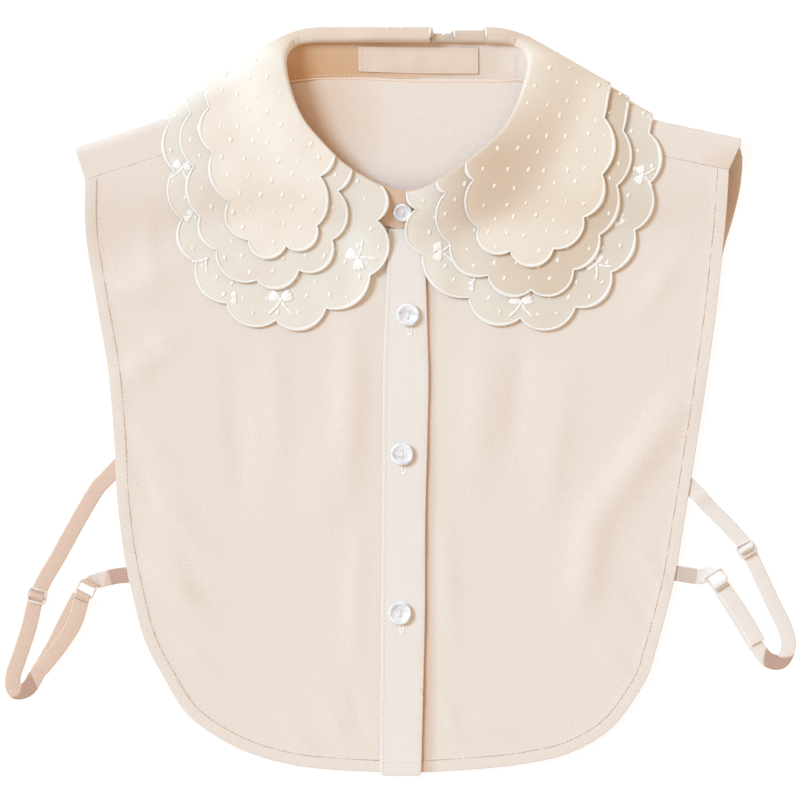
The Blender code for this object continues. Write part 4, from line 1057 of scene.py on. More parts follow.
def plan_sheet(outline, step):
    """A flat sheet of its outline, cut into a fine even mesh."""
    if area_of(outline) < 0.0:
        outline = outline[::-1]
    shape = bmesh.new()
    shape.faces.new([shape.verts.new((x, y, 0.0)) for x, y in outline])
    for axis in (0, 1):
        low = min(p[axis] for p in outline)
        high = max(p[axis] for p in outline)
        count = int((high - low) / step)
        for k in range(count):
            at = [0.0, 0.0, 0.0]
            at[axis] = low + (k + 0.613) * (high - low) / count
            across = [0.0, 0.0, 0.0]
            across[axis] = 1.0
            everything = shape.verts[:] + shape.edges[:] + shape.faces[:]
            bmesh.ops.bisect_plane(shape, geom=everything, dist=1e-4, plane_co=at, plane_no=across)
    bmesh.ops.remove_doubles(shape, verts=shape.verts, dist=SLIVER)
    return shape


def lift_sheet(shape, surface, level, detail=None):
    """Lays a flat sheet on a surface, then moves it out by its level and its own small detail."""
    plans = [vert.co.xy for vert in shape.verts]
    for vert in shape.verts:
        vert.co = surface(vert.co.x, vert.co.y)
    shape.normal_update()
    for vert, (x, y) in zip(shape.verts, plans):
        vert.co += vert.normal * (level + (detail(x, y) if detail else 0.0))


def placed_at(place, ahead, across, out):
    placed = Matrix((ahead, across, out)).transposed().to_4x4()
    placed.translation = place
    return placed


def seat(surface, x, y, angle, lift):
    """A place on a surface: X along the angle in the plan, Z out of the cloth."""
    origin = surface(x, y)
    out = normal_of(surface, x, y)
    ahead = surface(x + SEAT_STEP * math.cos(angle), y + SEAT_STEP * math.sin(angle)) - origin
    ahead = (ahead - out * ahead.dot(out)).normalized()
    across = out.cross(ahead)
    return placed_at(origin + out * lift, ahead, across, out)


BALLS = {}


def unit_ball(around, rings):
    """Points and faces of a ball of radius 1, made once for each fineness."""
    points = [Vector((0.0, 0.0, 1.0))]
    for j in range(1, rings):
        tilt = math.pi * j / rings
        for k in range(around):
            turn = 2.0 * math.pi * k / around
            wide = math.sin(tilt)
            points.append(Vector((wide * math.cos(turn), wide * math.sin(turn), math.cos(tilt))))
    points.append(Vector((0.0, 0.0, -1.0)))
    faces = []
    last = len(points) - 1
    for k in range(around):
        after = (k + 1) % around
        faces.append((0, 1 + k, 1 + after))
        faces.append((last, last - around + after, last - around + k))
        for j in range(rings - 2):
            row = 1 + j * around
            faces.append((row + k, row + around + k, row + around + after, row + after))
    return points, faces


def pad(shape, place, half_sizes, around=6, rings=4):
    """A small raised pad of thread, half sunk in the cloth."""
    fineness = (around, rings)
    if fineness not in BALLS:
        BALLS[fineness] = unit_ball(around, rings)
    points, faces = BALLS[fineness]
    sized = place @ Matrix.Diagonal((*half_sizes, 1.0))
    verts = [shape.verts.new(sized @ point) for point in points]
    for face in faces:
        shape.faces.new([verts[i] for i in face])


def even_points(path, pitch):
    """Points a pitch apart along a path, with the path's direction at each."""
    points = []
    carried = 0.0
    for start, end in zip(path, path[1:]):
        start, end = Vector(start), Vector(end)
        length = (end - start).length
        while carried <= length and length > 0.0:
            points.append((start.lerp(end, carried / length), (end - start).normalized()))
            carried += pitch
        carried -= length
    return points


STITCH_PITCH = 2.3
STITCH_HALF = (0.8, 0.24, 0.16)


def stitch_line(shape, path, surface, lift):
    for place, ahead in even_points(path, STITCH_PITCH):
        angle = math.atan2(ahead.y, ahead.x)
        pad(shape, seat(surface, place.x, place.y, angle, lift), STITCH_HALF)


RIBBON_SIDES = 8


def satin_ribbon(name, places, outs, half_widths, half_height, finish):
    """A low rounded band of satin stitch through places on the cloth."""
    shape = bmesh.new()
    uv = shape.loops.layers.uv.new("thread")
    rings = []
    runs = [0.0]
    for i, place in enumerate(places):
        ahead = (places[min(i + 1, len(places) - 1)] - places[max(i - 1, 0)]).normalized()
        across = outs[i].cross(ahead).normalized()
        ring = []
        for k in range(RIBBON_SIDES):
            angle = 2.0 * math.pi * k / RIBBON_SIDES
            offset = across * math.cos(angle) * half_widths[i] + outs[i] * math.sin(angle) * half_height
            ring.append(shape.verts.new(place + offset))
        rings.append(ring)
        if i:
            runs.append(runs[-1] + (place - places[i - 1]).length)
    for i, (first, second) in enumerate(zip(rings, rings[1:])):
        for k in range(RIBBON_SIDES):
            j = (k + 1) % RIBBON_SIDES
            face = shape.faces.new((first[k], second[k], second[j], first[j]))
            for loop, run in zip(face.loops, (runs[i], runs[i + 1], runs[i + 1], runs[i])):
                loop[uv].uv = (run, k / RIBBON_SIDES)
    shape.faces.new(rings[0])
    shape.faces.new(rings[-1][::-1])
    bmesh.ops.recalc_face_normals(shape, faces=shape.faces)
    finish_piece(name, shape, finish)


# Panels

UP = Vector((0.0, 0.0, 1.0))
HEM_WIDTH = 6.0
HEM_RISE = 0.36
HEM_SLOPE = (5.1, 6.3)
PUCKER = 0.1
PUCKER_REACH = 2.5
HEM_SHADOW_HALF = 0.2
HEM_SHADOW_RISE = 0.06
PANEL_WALL = 0.6
PLACKET_WALL = 0.9

# The over-placket's free edge: a soft wave and a pressed fold, with how far they reach
EDGE_WAVE = 0.12
EDGE_WAVE_TURN = 0.16
EDGE_WAVE_REACH = 4.0
EDGE_PRESS = 0.25
EDGE_PRESS_REACH = 0.7
SIDE_STITCH_INSET = 1.3
FOOT_STITCH_INSET = 1.0

# Finer creases in the cloth, in the same form: a soft ridge, or a trough where the height is below 0
CREASE_DEPTH = 1.8
CREASE_FADE = 0.1
CREASE_PAST = (0.4, 3.0)
CREASES = [
    (-137.0, 57.0, -112.0, 48.0, 3.6, 0.42), (-140.0, 40.0, -120.0, 24.0, 3.2, -0.34),
    (-137.0, 18.0, -121.0, 4.0, 3.0, 0.4), (-134.0, -12.0, -112.0, -34.0, 4.2, 0.5),
    (-133.0, -30.0, -121.0, -55.0, 3.4, -0.4), (-128.0, -78.0, -96.0, -110.0, 4.4, 0.5),
    (-116.0, -60.0, -98.0, -96.0, 5.0, -0.42), (-112.0, -118.0, -92.0, -136.0, 3.6, 0.4),
    (-60.0, -158.0, -42.0, -176.0, 3.0, 0.4), (-38.0, -150.0, -26.0, -172.0, 2.8, 0.34),
    (-24.0, -144.0, -18.0, -168.0, 2.6, -0.3), (34.0, -160.0, 60.0, -166.0, 3.2, 0.4),
    (22.0, -148.0, 30.0, -172.0, 2.8, 0.34), (120.0, -76.0, 136.0, -100.0, 3.4, 0.42),
    (112.0, -92.0, 128.0, -114.0, 3.2, -0.34), (96.0, -118.0, 116.0, -138.0, 3.6, 0.36),
    (62.0, 30.0, 56.0, -30.0, 6.0, -0.5), (84.0, 16.0, 72.0, -60.0, 7.0, 0.5),
    (-64.0, 34.0, -60.0, -30.0, 6.5, 0.45), (-84.0, 20.0, -78.0, -52.0, 7.0, -0.5),
    (-20.0, -60.0, -24.0, -130.0, 5.0, 0.4), (22.0, -60.0, 26.0, -120.0, 5.0, 0.45),
    (140.0, 74.0, 118.0, 40.0, 6.0, 0.5), (-128.0, 86.0, -122.0, 60.0, 5.0, 0.4),
]


def tree_of(points):
    tree = KDTree(len(points))
    for i, (x, y) in enumerate(points):
        tree.insert((x, y, 0.0), i)
    tree.balance()
    return tree


def dense(path, step=1.0):
    points = []
    for start, end in zip(path, path[1:]):
        points += line(start, end, step)
    return points + [tuple(path[-1])]


def panel_detail(hem_path):
    """The turned hem's rise and the panel's small creases."""
    hem = tree_of(dense(hem_path))

    def detail(x, y):
        gap = hem.find((x, y, 0.0))[2]
        rise = HEM_RISE * (1.0 - smooth(gap, *HEM_SLOPE))
        pucker = PUCKER * math.sin(x * 0.9 + y * 0.7) * math.exp(-((gap - HEM_WIDTH) / PUCKER_REACH) ** 2)
        return rise + pucker + CREASE_DEPTH * soft_folds(CREASES, x, y, CREASE_FADE, *CREASE_PAST)

    return detail


def fronts():
    sewing = bmesh.new()
    for side, rows, centre_x, top_row, finish in (
        ("left", LEFT_SIDE, LEFT_FRONT_EDGE, 0.1, "crepe"),
        # The right front carries the placket's painted shadow
        ("right", RIGHT_SIDE, RIGHT_FRONT_EDGE, 15.7, "crepe_placket_shadow"),
    ):
        outline, hem_path = front_outline(side, rows, centre_x, top_row)
        shape = plan_sheet(outline, PANEL_FINE)
        detail = panel_detail(hem_path)
        surface = plain_surface(front_height)
        lift_sheet(shape, surface, 0.0, detail)
        give_wall(shape, PANEL_WALL)
        piece = finish_piece("crepe_front_" + side, shape, finish, "front_" + side)
        hem_line = pulled_in(curve(hem_path, 3.0), HEM_WIDTH - 0.5)

        def skin(x, y):
            return Vector((x, y, front_height(x, y) + detail(x, y)))

        stitch_line(sewing, hem_line, skin, PANEL_WALL / 2.0)
        # A thin dark band along the hem's stitches: the painted shadow of the hem's turned edge
        places = [skin(x, y) + UP * PANEL_WALL / 2.0 for x, y in dense(hem_line)]
        outs = [UP] * len(places)
        widths = [HEM_SHADOW_HALF] * len(places)
        satin_ribbon("hem_shadow_line_" + side, places, outs, widths, HEM_SHADOW_RISE, "seam")
    finish_piece("hem_stitches", sewing, "thread")


def back():
    outline = back_outline()
    shape = plan_sheet(outline, PANEL_FINE)
    lift_sheet(shape, back_surface, 0.0)
    give_wall(shape, PANEL_WALL)
    piece = finish_piece("crepe_back", shape, "crepe_back", "back_panel")


def plackets():
    outline = over_placket_outline()
    fold = tree_of(dense(curve(PLACKET_RIGHT, 4.0)))

    def detail(x, y):
        gap = fold.find((x, y, 0.0))[2]
        wave = EDGE_WAVE * math.sin(y * EDGE_WAVE_TURN) * math.exp(-((gap / EDGE_WAVE_REACH) ** 2))
        return wave - EDGE_PRESS * math.exp(-((gap / EDGE_PRESS_REACH) ** 2))

    shape = plan_sheet(outline, PANEL_FINE * 0.8)
    lift_sheet(shape, plain_surface(placket_height), 0.0, detail)
    give_wall(shape, PLACKET_WALL)
    piece = finish_piece("crepe_over_placket", shape, "crepe_placket", "over_placket")
    outline = under_placket_outline()
    shape = plan_sheet(outline, PANEL_FINE)
    lift_sheet(shape, plain_surface(front_height), 0.0)
    give_wall(shape, PANEL_WALL)
    piece = finish_piece("crepe_under_placket", shape, "crepe_placket", "under_placket")
    sewing = bmesh.new()
    foot = PLACKET_FOOT + HEM_WIDTH
    side = [(x + SIDE_STITCH_INSET, y) for x, y in curve(PLACKET_LEFT, 3.0)]
    ends = PLACKET_LEFT[-1][0] + FOOT_STITCH_INSET, PLACKET_RIGHT[-1][0] - FOOT_STITCH_INSET
    for path in (side, [(x, foot) for x in ends]):
        stitch_line(sewing, path, plain_surface(placket_height), PLACKET_WALL / 2.0)
    finish_piece("placket_stitches", sewing, "thread")
    buttonholes()


BUTTONHOLE_UP = 4.0
BUTTONHOLE_DOWN = 10.0
BUTTONHOLE_HALF = 0.75
BUTTONHOLE_ASIDE = 1.0
BUTTONHOLE_PITCH = 0.45
BUTTONHOLE_STITCH = (0.55, 0.25, 0.22)
BAR_PITCH = 0.3
BAR_STITCH = (1.35, 0.22, 0.26)


def buttonholes():
    shape = bmesh.new()
    surface = plain_surface(placket_height)
    for _, x, y in BUTTON_PLACES:
        for side in (-1.0, 1.0):
            across = x + BUTTONHOLE_ASIDE + side * BUTTONHOLE_HALF
            path = [(across, y - BUTTONHOLE_DOWN), (across, y + BUTTONHOLE_UP)]
            for place, _ in even_points(path, BUTTONHOLE_PITCH):
                pad(shape, seat(surface, place.x, place.y, 0.0, PLACKET_WALL / 2.0), BUTTONHOLE_STITCH)
        for end in (-BUTTONHOLE_DOWN, BUTTONHOLE_UP):
            for k in range(4):
                place = seat(surface, x + BUTTONHOLE_ASIDE, y + end + BAR_PITCH * k, 0.0, PLACKET_WALL / 2.0)
                pad(shape, place, BAR_STITCH)
    finish_piece("buttonholes", shape, "white_thread")


# Stand, label, buttons

STAND_FINE = ((280, 14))
STAND_SHOWN_WALL = 0.7
STAND_LOW = -0.05
STAND_STITCHES_UP = (0.09, 0.94)
STAND_STITCH_PITCH = 2.2
STAND_STITCH_HALF = (0.78, 0.24, 0.18)
STAND_END_GAP = 0.1
PIPING_UP = 0.0
PIPING_STEP = 0.04
PIPING_HALF = 0.42


def stand_skin(t, up):
    """The stand with the soft unevenness of a sewn band."""
    wave = 0.22 * math.sin(3.1 * t + 2.0 * up) + 0.16 * math.sin(7.7 * t + 1.0)
    return stand_surface(t, up) + stand_out(t, up) * wave * math.sin(math.pi * min(max(up, 0.0), 1.0))


def stand():
    shape = bmesh.new()
    bmesh.ops.create_grid(shape, x_segments=STAND_FINE[0], y_segments=STAND_FINE[1], size=0.5)
    length = STAND_UNDER_END - STAND_OVER_END
    for vert in shape.verts:
        up = STAND_LOW + (1.0 - STAND_LOW) * (vert.co.y + 0.5)
        vert.co = stand_skin(STAND_OVER_END + length * (vert.co.x + 0.5), up)
    give_wall(shape, STAND_SHOWN_WALL)
    piece = finish_piece("crepe_stand", shape, "crepe_stand", "collar_stand")
    places = []
    outs = []
    t = STAND_OVER_END + STAND_END_GAP
    while t < STAND_UNDER_END - STAND_END_GAP:
        outs.append(-stand_out(t, PIPING_UP))
        places.append(stand_skin(t, PIPING_UP) + outs[-1] * STAND_SHOWN_WALL / 2.0)
        t += PIPING_STEP
    satin_ribbon("neck_piping", places, outs, [PIPING_HALF] * len(places), PIPING_HALF, "piping")
    sewing = bmesh.new()
    for up in STAND_STITCHES_UP:
        t = STAND_OVER_END + STAND_END_GAP
        while t < STAND_UNDER_END - STAND_END_GAP:
            place = stand_skin(t, up)
            ahead = stand_skin(t + NECK_STEP, up) - place
            step = STAND_STITCH_PITCH / (ahead.length / NECK_STEP)
            out = -stand_out(t, up)
            ahead.normalize()
            placed = placed_at(place + out * STAND_SHOWN_WALL / 2.0, ahead, out.cross(ahead), out)
            pad(sewing, placed, STAND_STITCH_HALF)
            t += step
    finish_piece("stand_stitches", sewing, "thread")


# The label's wall and flat size, and its stitches: how many steps, from where to where on it
LABEL_WALL = 0.3
LABEL_STITCHES = [
    (22, 0.03, 0.1, 0.97, 0.1), (22, 0.03, 0.9, 0.97, 0.9),
    (4, 0.03, 0.1, 0.03, 0.9), (4, 0.97, 0.1, 0.97, 0.9),
]
LABEL_STITCH_LIFT = 0.3
LABEL_STITCH_HALF = (0.7, 0.2, 0.15)


def label():
    shape = bmesh.new()
    bmesh.ops.create_grid(shape, x_segments=40, y_segments=12, size=0.5)
    offset = STAND_WALL / 2.0 + LABEL_GAP + 0.1
    start, end = LABEL_SPAN
    low, high = LABEL_UP
    for vert in shape.verts:
        u, v = vert.co.x + 0.5, vert.co.y + 0.5
        t = start + (end - start) * u
        up = low + (high - low) * v
        swell = 0.35 * math.sin(math.pi * u) * math.sin(math.pi * v) + 0.12 * math.sin(9.0 * u)
        vert.co = stand_surface(t, up) - stand_out(t, up) * (offset + swell)
    give_wall(shape, LABEL_WALL)
    piece = finish_piece("bare_label", shape, "label", "label")
    sewing = bmesh.new()
    for count, from_u, from_v, to_u, to_v in LABEL_STITCHES:
        for k in range(count + 1):
            u = from_u + (to_u - from_u) * k / count
            v = from_v + (to_v - from_v) * k / count
            t = start + (end - start) * u
            up = low + (high - low) * v
            out = -stand_out(t, up)
            next_t, next_up = (t + NECK_STEP, up) if from_u != to_u else (t, up + NECK_STEP)
            ahead = (stand_surface(next_t, next_up) - stand_surface(t, up)).normalized()
            place = stand_surface(t, up) + out * (offset + LABEL_STITCH_LIFT)
            pad(sewing, placed_at(place, ahead, out.cross(ahead), out), LABEL_STITCH_HALF)
    finish_piece("label_stitches", sewing, "thread")


BUTTON_TURN = 56

# Half of a button's section, as shares of its radius and its thickness
BUTTON_PROFILE = [
    (0.0, 0.0), (0.72, 0.0), (0.93, 0.22), (1.0, 0.55), (0.985, 0.8), (0.93, 0.97), (0.86, 1.0),
    (0.76, 0.93), (0.66, 0.72), (0.52, 0.6), (0.0, 0.57),
]
HOLE_UP = 0.585
BAR_UP = 0.62
BAR_ASIDE = 0.28
BAR_HALF = (0.26, 2.0, 0.34)
ABOVE_CLOTH = 0.15


def button(node, radius, thickness, place, out):
    """A turned pearl disc, dished, with painted shade in its two sewing holes, crossed by thread."""
    shape = bmesh.new()
    verts = [shape.verts.new((radius * r, 0.0, thickness * z)) for r, z in BUTTON_PROFILE]
    for a, b in zip(verts, verts[1:]):
        shape.edges.new((a, b))
    bmesh.ops.spin(shape, geom=shape.edges[:] + shape.verts[:], cent=(0, 0, 0), axis=(0, 0, 1),
                   angle=2.0 * math.pi, steps=BUTTON_TURN, use_merge=True, use_duplicate=False)
    bmesh.ops.remove_doubles(shape, verts=shape.verts, dist=1e-4)
    bmesh.ops.recalc_face_normals(shape, faces=shape.faces)
    turn = Matrix(out.to_track_quat("Z", "Y").to_matrix()).to_4x4()
    turn.translation = place
    bmesh.ops.transform(shape, matrix=turn, verts=shape.verts)
    finish_piece("pearl_" + node, shape, "pearl", node)
    painted_hole_shade = bmesh.new()
    sewing = bmesh.new()
    for sign in (-1.0, 1.0):
        hole = turn @ Matrix.Translation((0.0, sign * HOLE_SPREAD, thickness * HOLE_UP))
        # Not a cut hole: a thin darker disc, painted shade in the hole
        pad(painted_hole_shade, hole, (HOLE_RADIUS, HOLE_RADIUS, 0.06), 12, 4)
        bar = turn @ Matrix.Translation((sign * BAR_ASIDE, 0.0, thickness * BAR_UP))
        pad(sewing, bar, BAR_HALF, 8, 8)
    return painted_hole_shade, sewing


def buttons():
    holes = bmesh.new()
    threads = bmesh.new()
    made = []
    surface = plain_surface(placket_height)
    for name, x, y in BUTTON_PLACES:
        out = normal_of(surface, x, y)
        place = Vector((x, y, placket_height(x, y))) + out * (CREPE / 2.0 + ABOVE_CLOTH)
        made.append(button(name, BUTTON_RADIUS, BUTTON_THICKNESS, place, out))
    t, up = BAND_BUTTON_PLACE, BAND_BUTTON_UP
    out = stand_out(t, up)
    place = stand_surface(t, up) + out * (STAND_WALL / 2.0 + ABOVE_CLOTH)
    made.append(button("button_band", BAND_BUTTON_RADIUS, BAND_BUTTON_THICKNESS, place, out))
    for total, index, name, finish in ((holes, 0, "button_hole_shade", "thread"),
                                       (threads, 1, "button_threads", "white_thread")):
        for pair in made:
            mesh = bpy.data.meshes.new("joined")
            pair[index].to_mesh(mesh)
            pair[index].free()
            total.from_mesh(mesh)
            bpy.data.meshes.remove(mesh)
        finish_piece(name, total, finish)


# Collar

ORGANZA_WALL = 0.3
SATIN_HALF = 0.55
SATIN_RISE = 0.42
CRESCENT = 0.5
THIN_CRESCENT = 0.3
DOT_PITCH = 10.2
DOT_ROW = 8.16
DOT_STRAY = 1.7
DOT_TURN = 0.4
DOT_SIZES = (0.75, 1.15)
DOT_FROM_EDGE = 3.0
DOT_SLANT = {-1: 80.0, 1: 70.0}
DOT_HALF = (1.4, 0.85, 0.3)
FLUTTER = 0.16
FLUTTER_REACH = (14.0, 60.0)
ROLL_PIECES = 5
ROLL_DOWN = 1.3
ROLL_IN = 0.55
ROLL_PITCH = 0.34
ROLL_BEND = 0.9
ON_FOLD = 0.35


def flutter(level):
    """The layer's own soft waves towards its edge."""
    phase = 1.7 * level

    def detail(x, y):
        far = smooth(fold_place(x, y)[0], *FLUTTER_REACH)
        return far * FLUTTER * math.sin(x * 0.21 + phase) * math.sin(y * 0.19 - phase)

    return detail


def fold_verts(shape):
    """The vertices of a flat layer that lie along its fold, with their places on the neck."""
    rows = {}
    for vert in shape.verts:
        if vert.is_boundary:
            gap, _, row = fold_place(vert.co.x, vert.co.y)
            if gap < ON_FOLD:
                rows[vert] = row
    return rows


def roll_to_stand(shape, rows, level):
    """Carries a layer's fold edge over and down to the top of the stand."""
    edges = [e for e in shape.edges if e.is_boundary and e.verts[0] in rows and e.verts[1] in rows]
    paths = {}
    for vert, t in rows.items():
        inner = -stand_out(t, 0.9)
        down = (stand_surface(t, 0.85) - stand_surface(t, 1.0)).normalized()
        end = stand_surface(t, 1.0) + inner * (ROLL_IN + ROLL_PITCH * (level + 1)) + down * ROLL_DOWN
        bend = Vector((end.x + inner.x * ROLL_BEND, end.y + inner.y * ROLL_BEND, vert.co.z))
        paths[vert] = (vert.co.copy(), bend, end)
    for k in range(1, ROLL_PIECES + 1):
        made = bmesh.ops.extrude_edge_only(shape, edges=edges)["geom"]
        fresh = [g for g in made if isinstance(g, bmesh.types.BMVert)]
        edges = [g for g in made if isinstance(g, bmesh.types.BMEdge) and g.is_boundary
                 and g.verts[0] in fresh and g.verts[1] in fresh]
        carried = {}
        f = k / ROLL_PIECES
        for vert in fresh:
            partner = next(e.other_vert(vert) for e in vert.link_edges if e.other_vert(vert) in paths)
            start, bend, end = paths[partner]
            vert.co = start * (1 - f) ** 2 + bend * 2 * f * (1 - f) + end * f * f
            carried[vert] = paths[partner]
        paths = carried


def satin_edge(name, path, level):
    """The satin stitch round a layer's scallops, a thick crescent on two of each three."""
    places = []
    outs = []
    half_widths = []
    for i, (x, y) in enumerate(path):
        out = normal_of(collar_surface, x, y)
        places.append(collar_surface(x, y) + out * level)
        outs.append(out)
        share = (i % SCALLOP_SEGMENTS) / SCALLOP_SEGMENTS
        thick = THIN_CRESCENT if i // SCALLOP_SEGMENTS % 3 == 1 else 1.0
        half_widths.append(SATIN_HALF + CRESCENT * thick * math.sin(math.pi * share) ** 2)
    satin_ribbon(name, places, outs, half_widths, SATIN_RISE, "satin_edge")


def inside(outline, x, y):
    within = False
    for (ax, ay), (bx, by) in zip(outline, outline[1:] + outline[:1]):
        if (ay > y) != (by > y) and x < (bx - ax) * (y - ay) / (by - ay) + ax:
            within = not within
    return within


def clip_dots(shape, outline, level, slant):
    """Small raised ovals of thread, in staggered rows all over a layer."""
    edge = tree_of(dense(outline + outline[:1]))
    low = [min(p[i] for p in outline) for i in (0, 1)]
    high = [max(p[i] for p in outline) for i in (0, 1)]
    rows = int((high[1] - low[1]) / DOT_ROW)
    columns = int((high[0] - low[0]) / DOT_PITCH)
    for j in range(rows + 1):
        for i in range(columns + 1):
            x = low[0] + DOT_PITCH * (i + 0.5 * (j % 2)) + RANDOM.uniform(-DOT_STRAY, DOT_STRAY)
            y = low[1] + DOT_ROW * j + RANDOM.uniform(-DOT_STRAY, DOT_STRAY)
            size = RANDOM.uniform(*DOT_SIZES)
            if inside(outline, x, y) and edge.find((x, y, 0.0))[2] > DOT_FROM_EDGE:
                turn = slant + RANDOM.uniform(-DOT_TURN, DOT_TURN)
                place = seat(collar_surface, x, y, turn, level + ORGANZA_WALL / 2.0)
                pad(shape, place, [half * size for half in DOT_HALF], 8, 6)


# Bows embroidered on the under layers: x, y, turn in degrees, size, and whether loops and tails show
BOWS = {
    "left": [
        (-21.0, 71.5, 125.0, 1.15, 1, 1), (-59.5, 50.5, 0.0, 1.15, 1, 1), (-82.0, 51.5, 90.0, 0.6, 1, 0),
        (-96.5, 71.0, -38.0, 0.9, 0, 1), (-108.5, 116.0, -10.0, 0.9, 1, 1), (-104.5, 92.0, 60.0, 0.6, 1, 0),
    ],
    "right": [
        (20.5, 74.5, 90.0, 0.9, 1, 1), (60.5, 49.0, 0.0, 1.1, 1, 1), (98.0, 68.5, 40.0, 1.0, 1, 1),
        (121.0, 112.5, 80.0, 0.9, 1, 1), (110.0, 88.5, 30.0, 0.6, 1, 0), (36.5, 57.5, 90.0, 0.5, 1, 0),
    ],
}
LOOP_TURNS = (28.0, 152.0)
TAIL_TURNS = ((-58.0, 10.0), (-122.0, -10.0))
PETALS = (-20.0, 0.0, 20.0)
PETAL_REACH = 3.1
TAIL_REACH = (2.6, 6.2)
PETAL_HALF = (2.7, 1.25, 0.55)
TAIL_HALF = (2.3, 0.6, 0.42)
KNOT_HALF = (0.95, 1.0, 0.7)


def bows(side):
    """Small embroidered bows: three satin petals a loop, a knot and two tails."""
    shape = bmesh.new()
    for bow_x, bow_y, degrees, size, loops, tails in BOWS[side]:
        turn = math.radians(degrees)

        def stroke(angle, reach, halves, lean=0.0):
            x = bow_x + math.cos(turn + angle) * reach * size
            y = bow_y + math.sin(turn + angle) * reach * size
            place = seat(collar_surface, x, y, turn + angle + lean, ORGANZA_WALL / 2.0)
            pad(shape, place, [half * size for half in halves], 12, 8)

        stroke(0.0, 0.0, KNOT_HALF)
        if loops:
            for loop in LOOP_TURNS:
                for petal in PETALS:
                    stroke(math.radians(loop + petal), PETAL_REACH, PETAL_HALF)
        if tails:
            for tail, bend in TAIL_TURNS:
                stroke(math.radians(tail), TAIL_REACH[0], TAIL_HALF)
                stroke(math.radians(tail + 0.6 * bend), TAIL_REACH[1], TAIL_HALF, math.radians(bend))
    finish_piece("bows_" + side, shape, "white_thread")


def collar():
    for name, spec in LAYERS.items():
        level = spec["level"] * LAYER_PITCH
        outline, edge_path = collar_outline(spec)
        shape = plan_sheet(outline, COLLAR_FINE)
        rows = fold_verts(shape)
        lift_sheet(shape, collar_surface, level, flutter(spec["level"]))
        roll_to_stand(shape, rows, spec["level"])
        give_wall(shape, ORGANZA_WALL)
        finish = ("organza_sheer", "organza_middle", "organza_top")[spec["level"]]
        piece = finish_piece("organza_" + name, shape, finish, name)
        side = name[name.rindex("_"):]
        satin_edge("satin_" + name, edge_path, level)
        dots = bmesh.new()
        clip_dots(dots, outline, level, math.radians(DOT_SLANT[spec["side"]]))
        finish_piece("dots_" + name, dots, "clip_thread")
    bows("left")
    bows("right")


# Straps and fittings

CORNER_PIECES = 6
TAPE_WALL = 0.8
TAPE_ACROSS = 8
TAPE_STEP = 0.5
TUCK = 6.0

# A tape's loop over a ring's wire: how far out from the wire, and how high
LOOP = [
    (3.6, 1.9), (2.3, 2.35), (1.35, 3.2), (0.81, 4.26), (0.0, 4.6),
    (-0.81, 4.26), (-1.15, 3.45), (-0.81, 2.64), (0.0, 2.3), (1.0, 2.0),
]
LOOP_REACH = (1.4, 4.0)

# The tape woven over a slider's middle bar
WEAVE_RISE = 2.8
WEAVE_WIDTH = 1.7
WEAVE_REACH = 8.0

# Painted shade at a tape's turns and tucks, partly its underside, and pale ends: attribute, x, y, half
# length, slant, strength
TAPE_SHADES = {
    "strap_left": [("under", -185.4, -143.6, 4.8, 0.7, 0.9)],
    "tab_left": [("under", -140.0, -87.2, 5.2, 0.0, 0.75), ("pale", -150.2, -89.4, 3.2, 0.3, 0.75)],
    "strap_right": [("under", 187.0, -130.2, 6.0, -0.7, 0.9)],
    "tab_right": [("under", 142.5, -86.7, 6.0, 0.0, 0.5), ("pale", 152.2, -88.0, 2.8, 0.3, 0.7)],
}


def tucked(rows):
    """A tape's rows, begun under the front panel that it is sewn to."""
    first, second = Vector(rows[0][:2]), Vector(rows[1][:2])
    x, y = first + (first - second).normalized() * TUCK
    below = front_height(x, y) - (PANEL_WALL + TAPE_WALL) / 2.0 - 0.05
    return [(x, y, below), (first.x, first.y, min(rows[0][2], below))] + list(rows[1:])


def wire_of(ring, sign):
    """The middle of a ring's wire, on the limb's side or the tab's, and the wire's direction."""
    centre = Vector(ring["centre"])
    heading = (Vector(ring["toward"]) - centre).normalized()
    middle = centre + heading * sign * (FRAME_HALF[1] - FRAME_WIRE / 2.0)
    return middle, Vector((-heading.y, heading.x, 0.0))


def looped(rows, wire):
    """A tape's rows, carried on over a ring's wire and back below it."""
    middle, _ = wire
    out = (Vector(rows[-1][:2]) - middle).normalized()
    return list(rows) + [(*(middle + out * reach), height) for reach, height in LOOP]


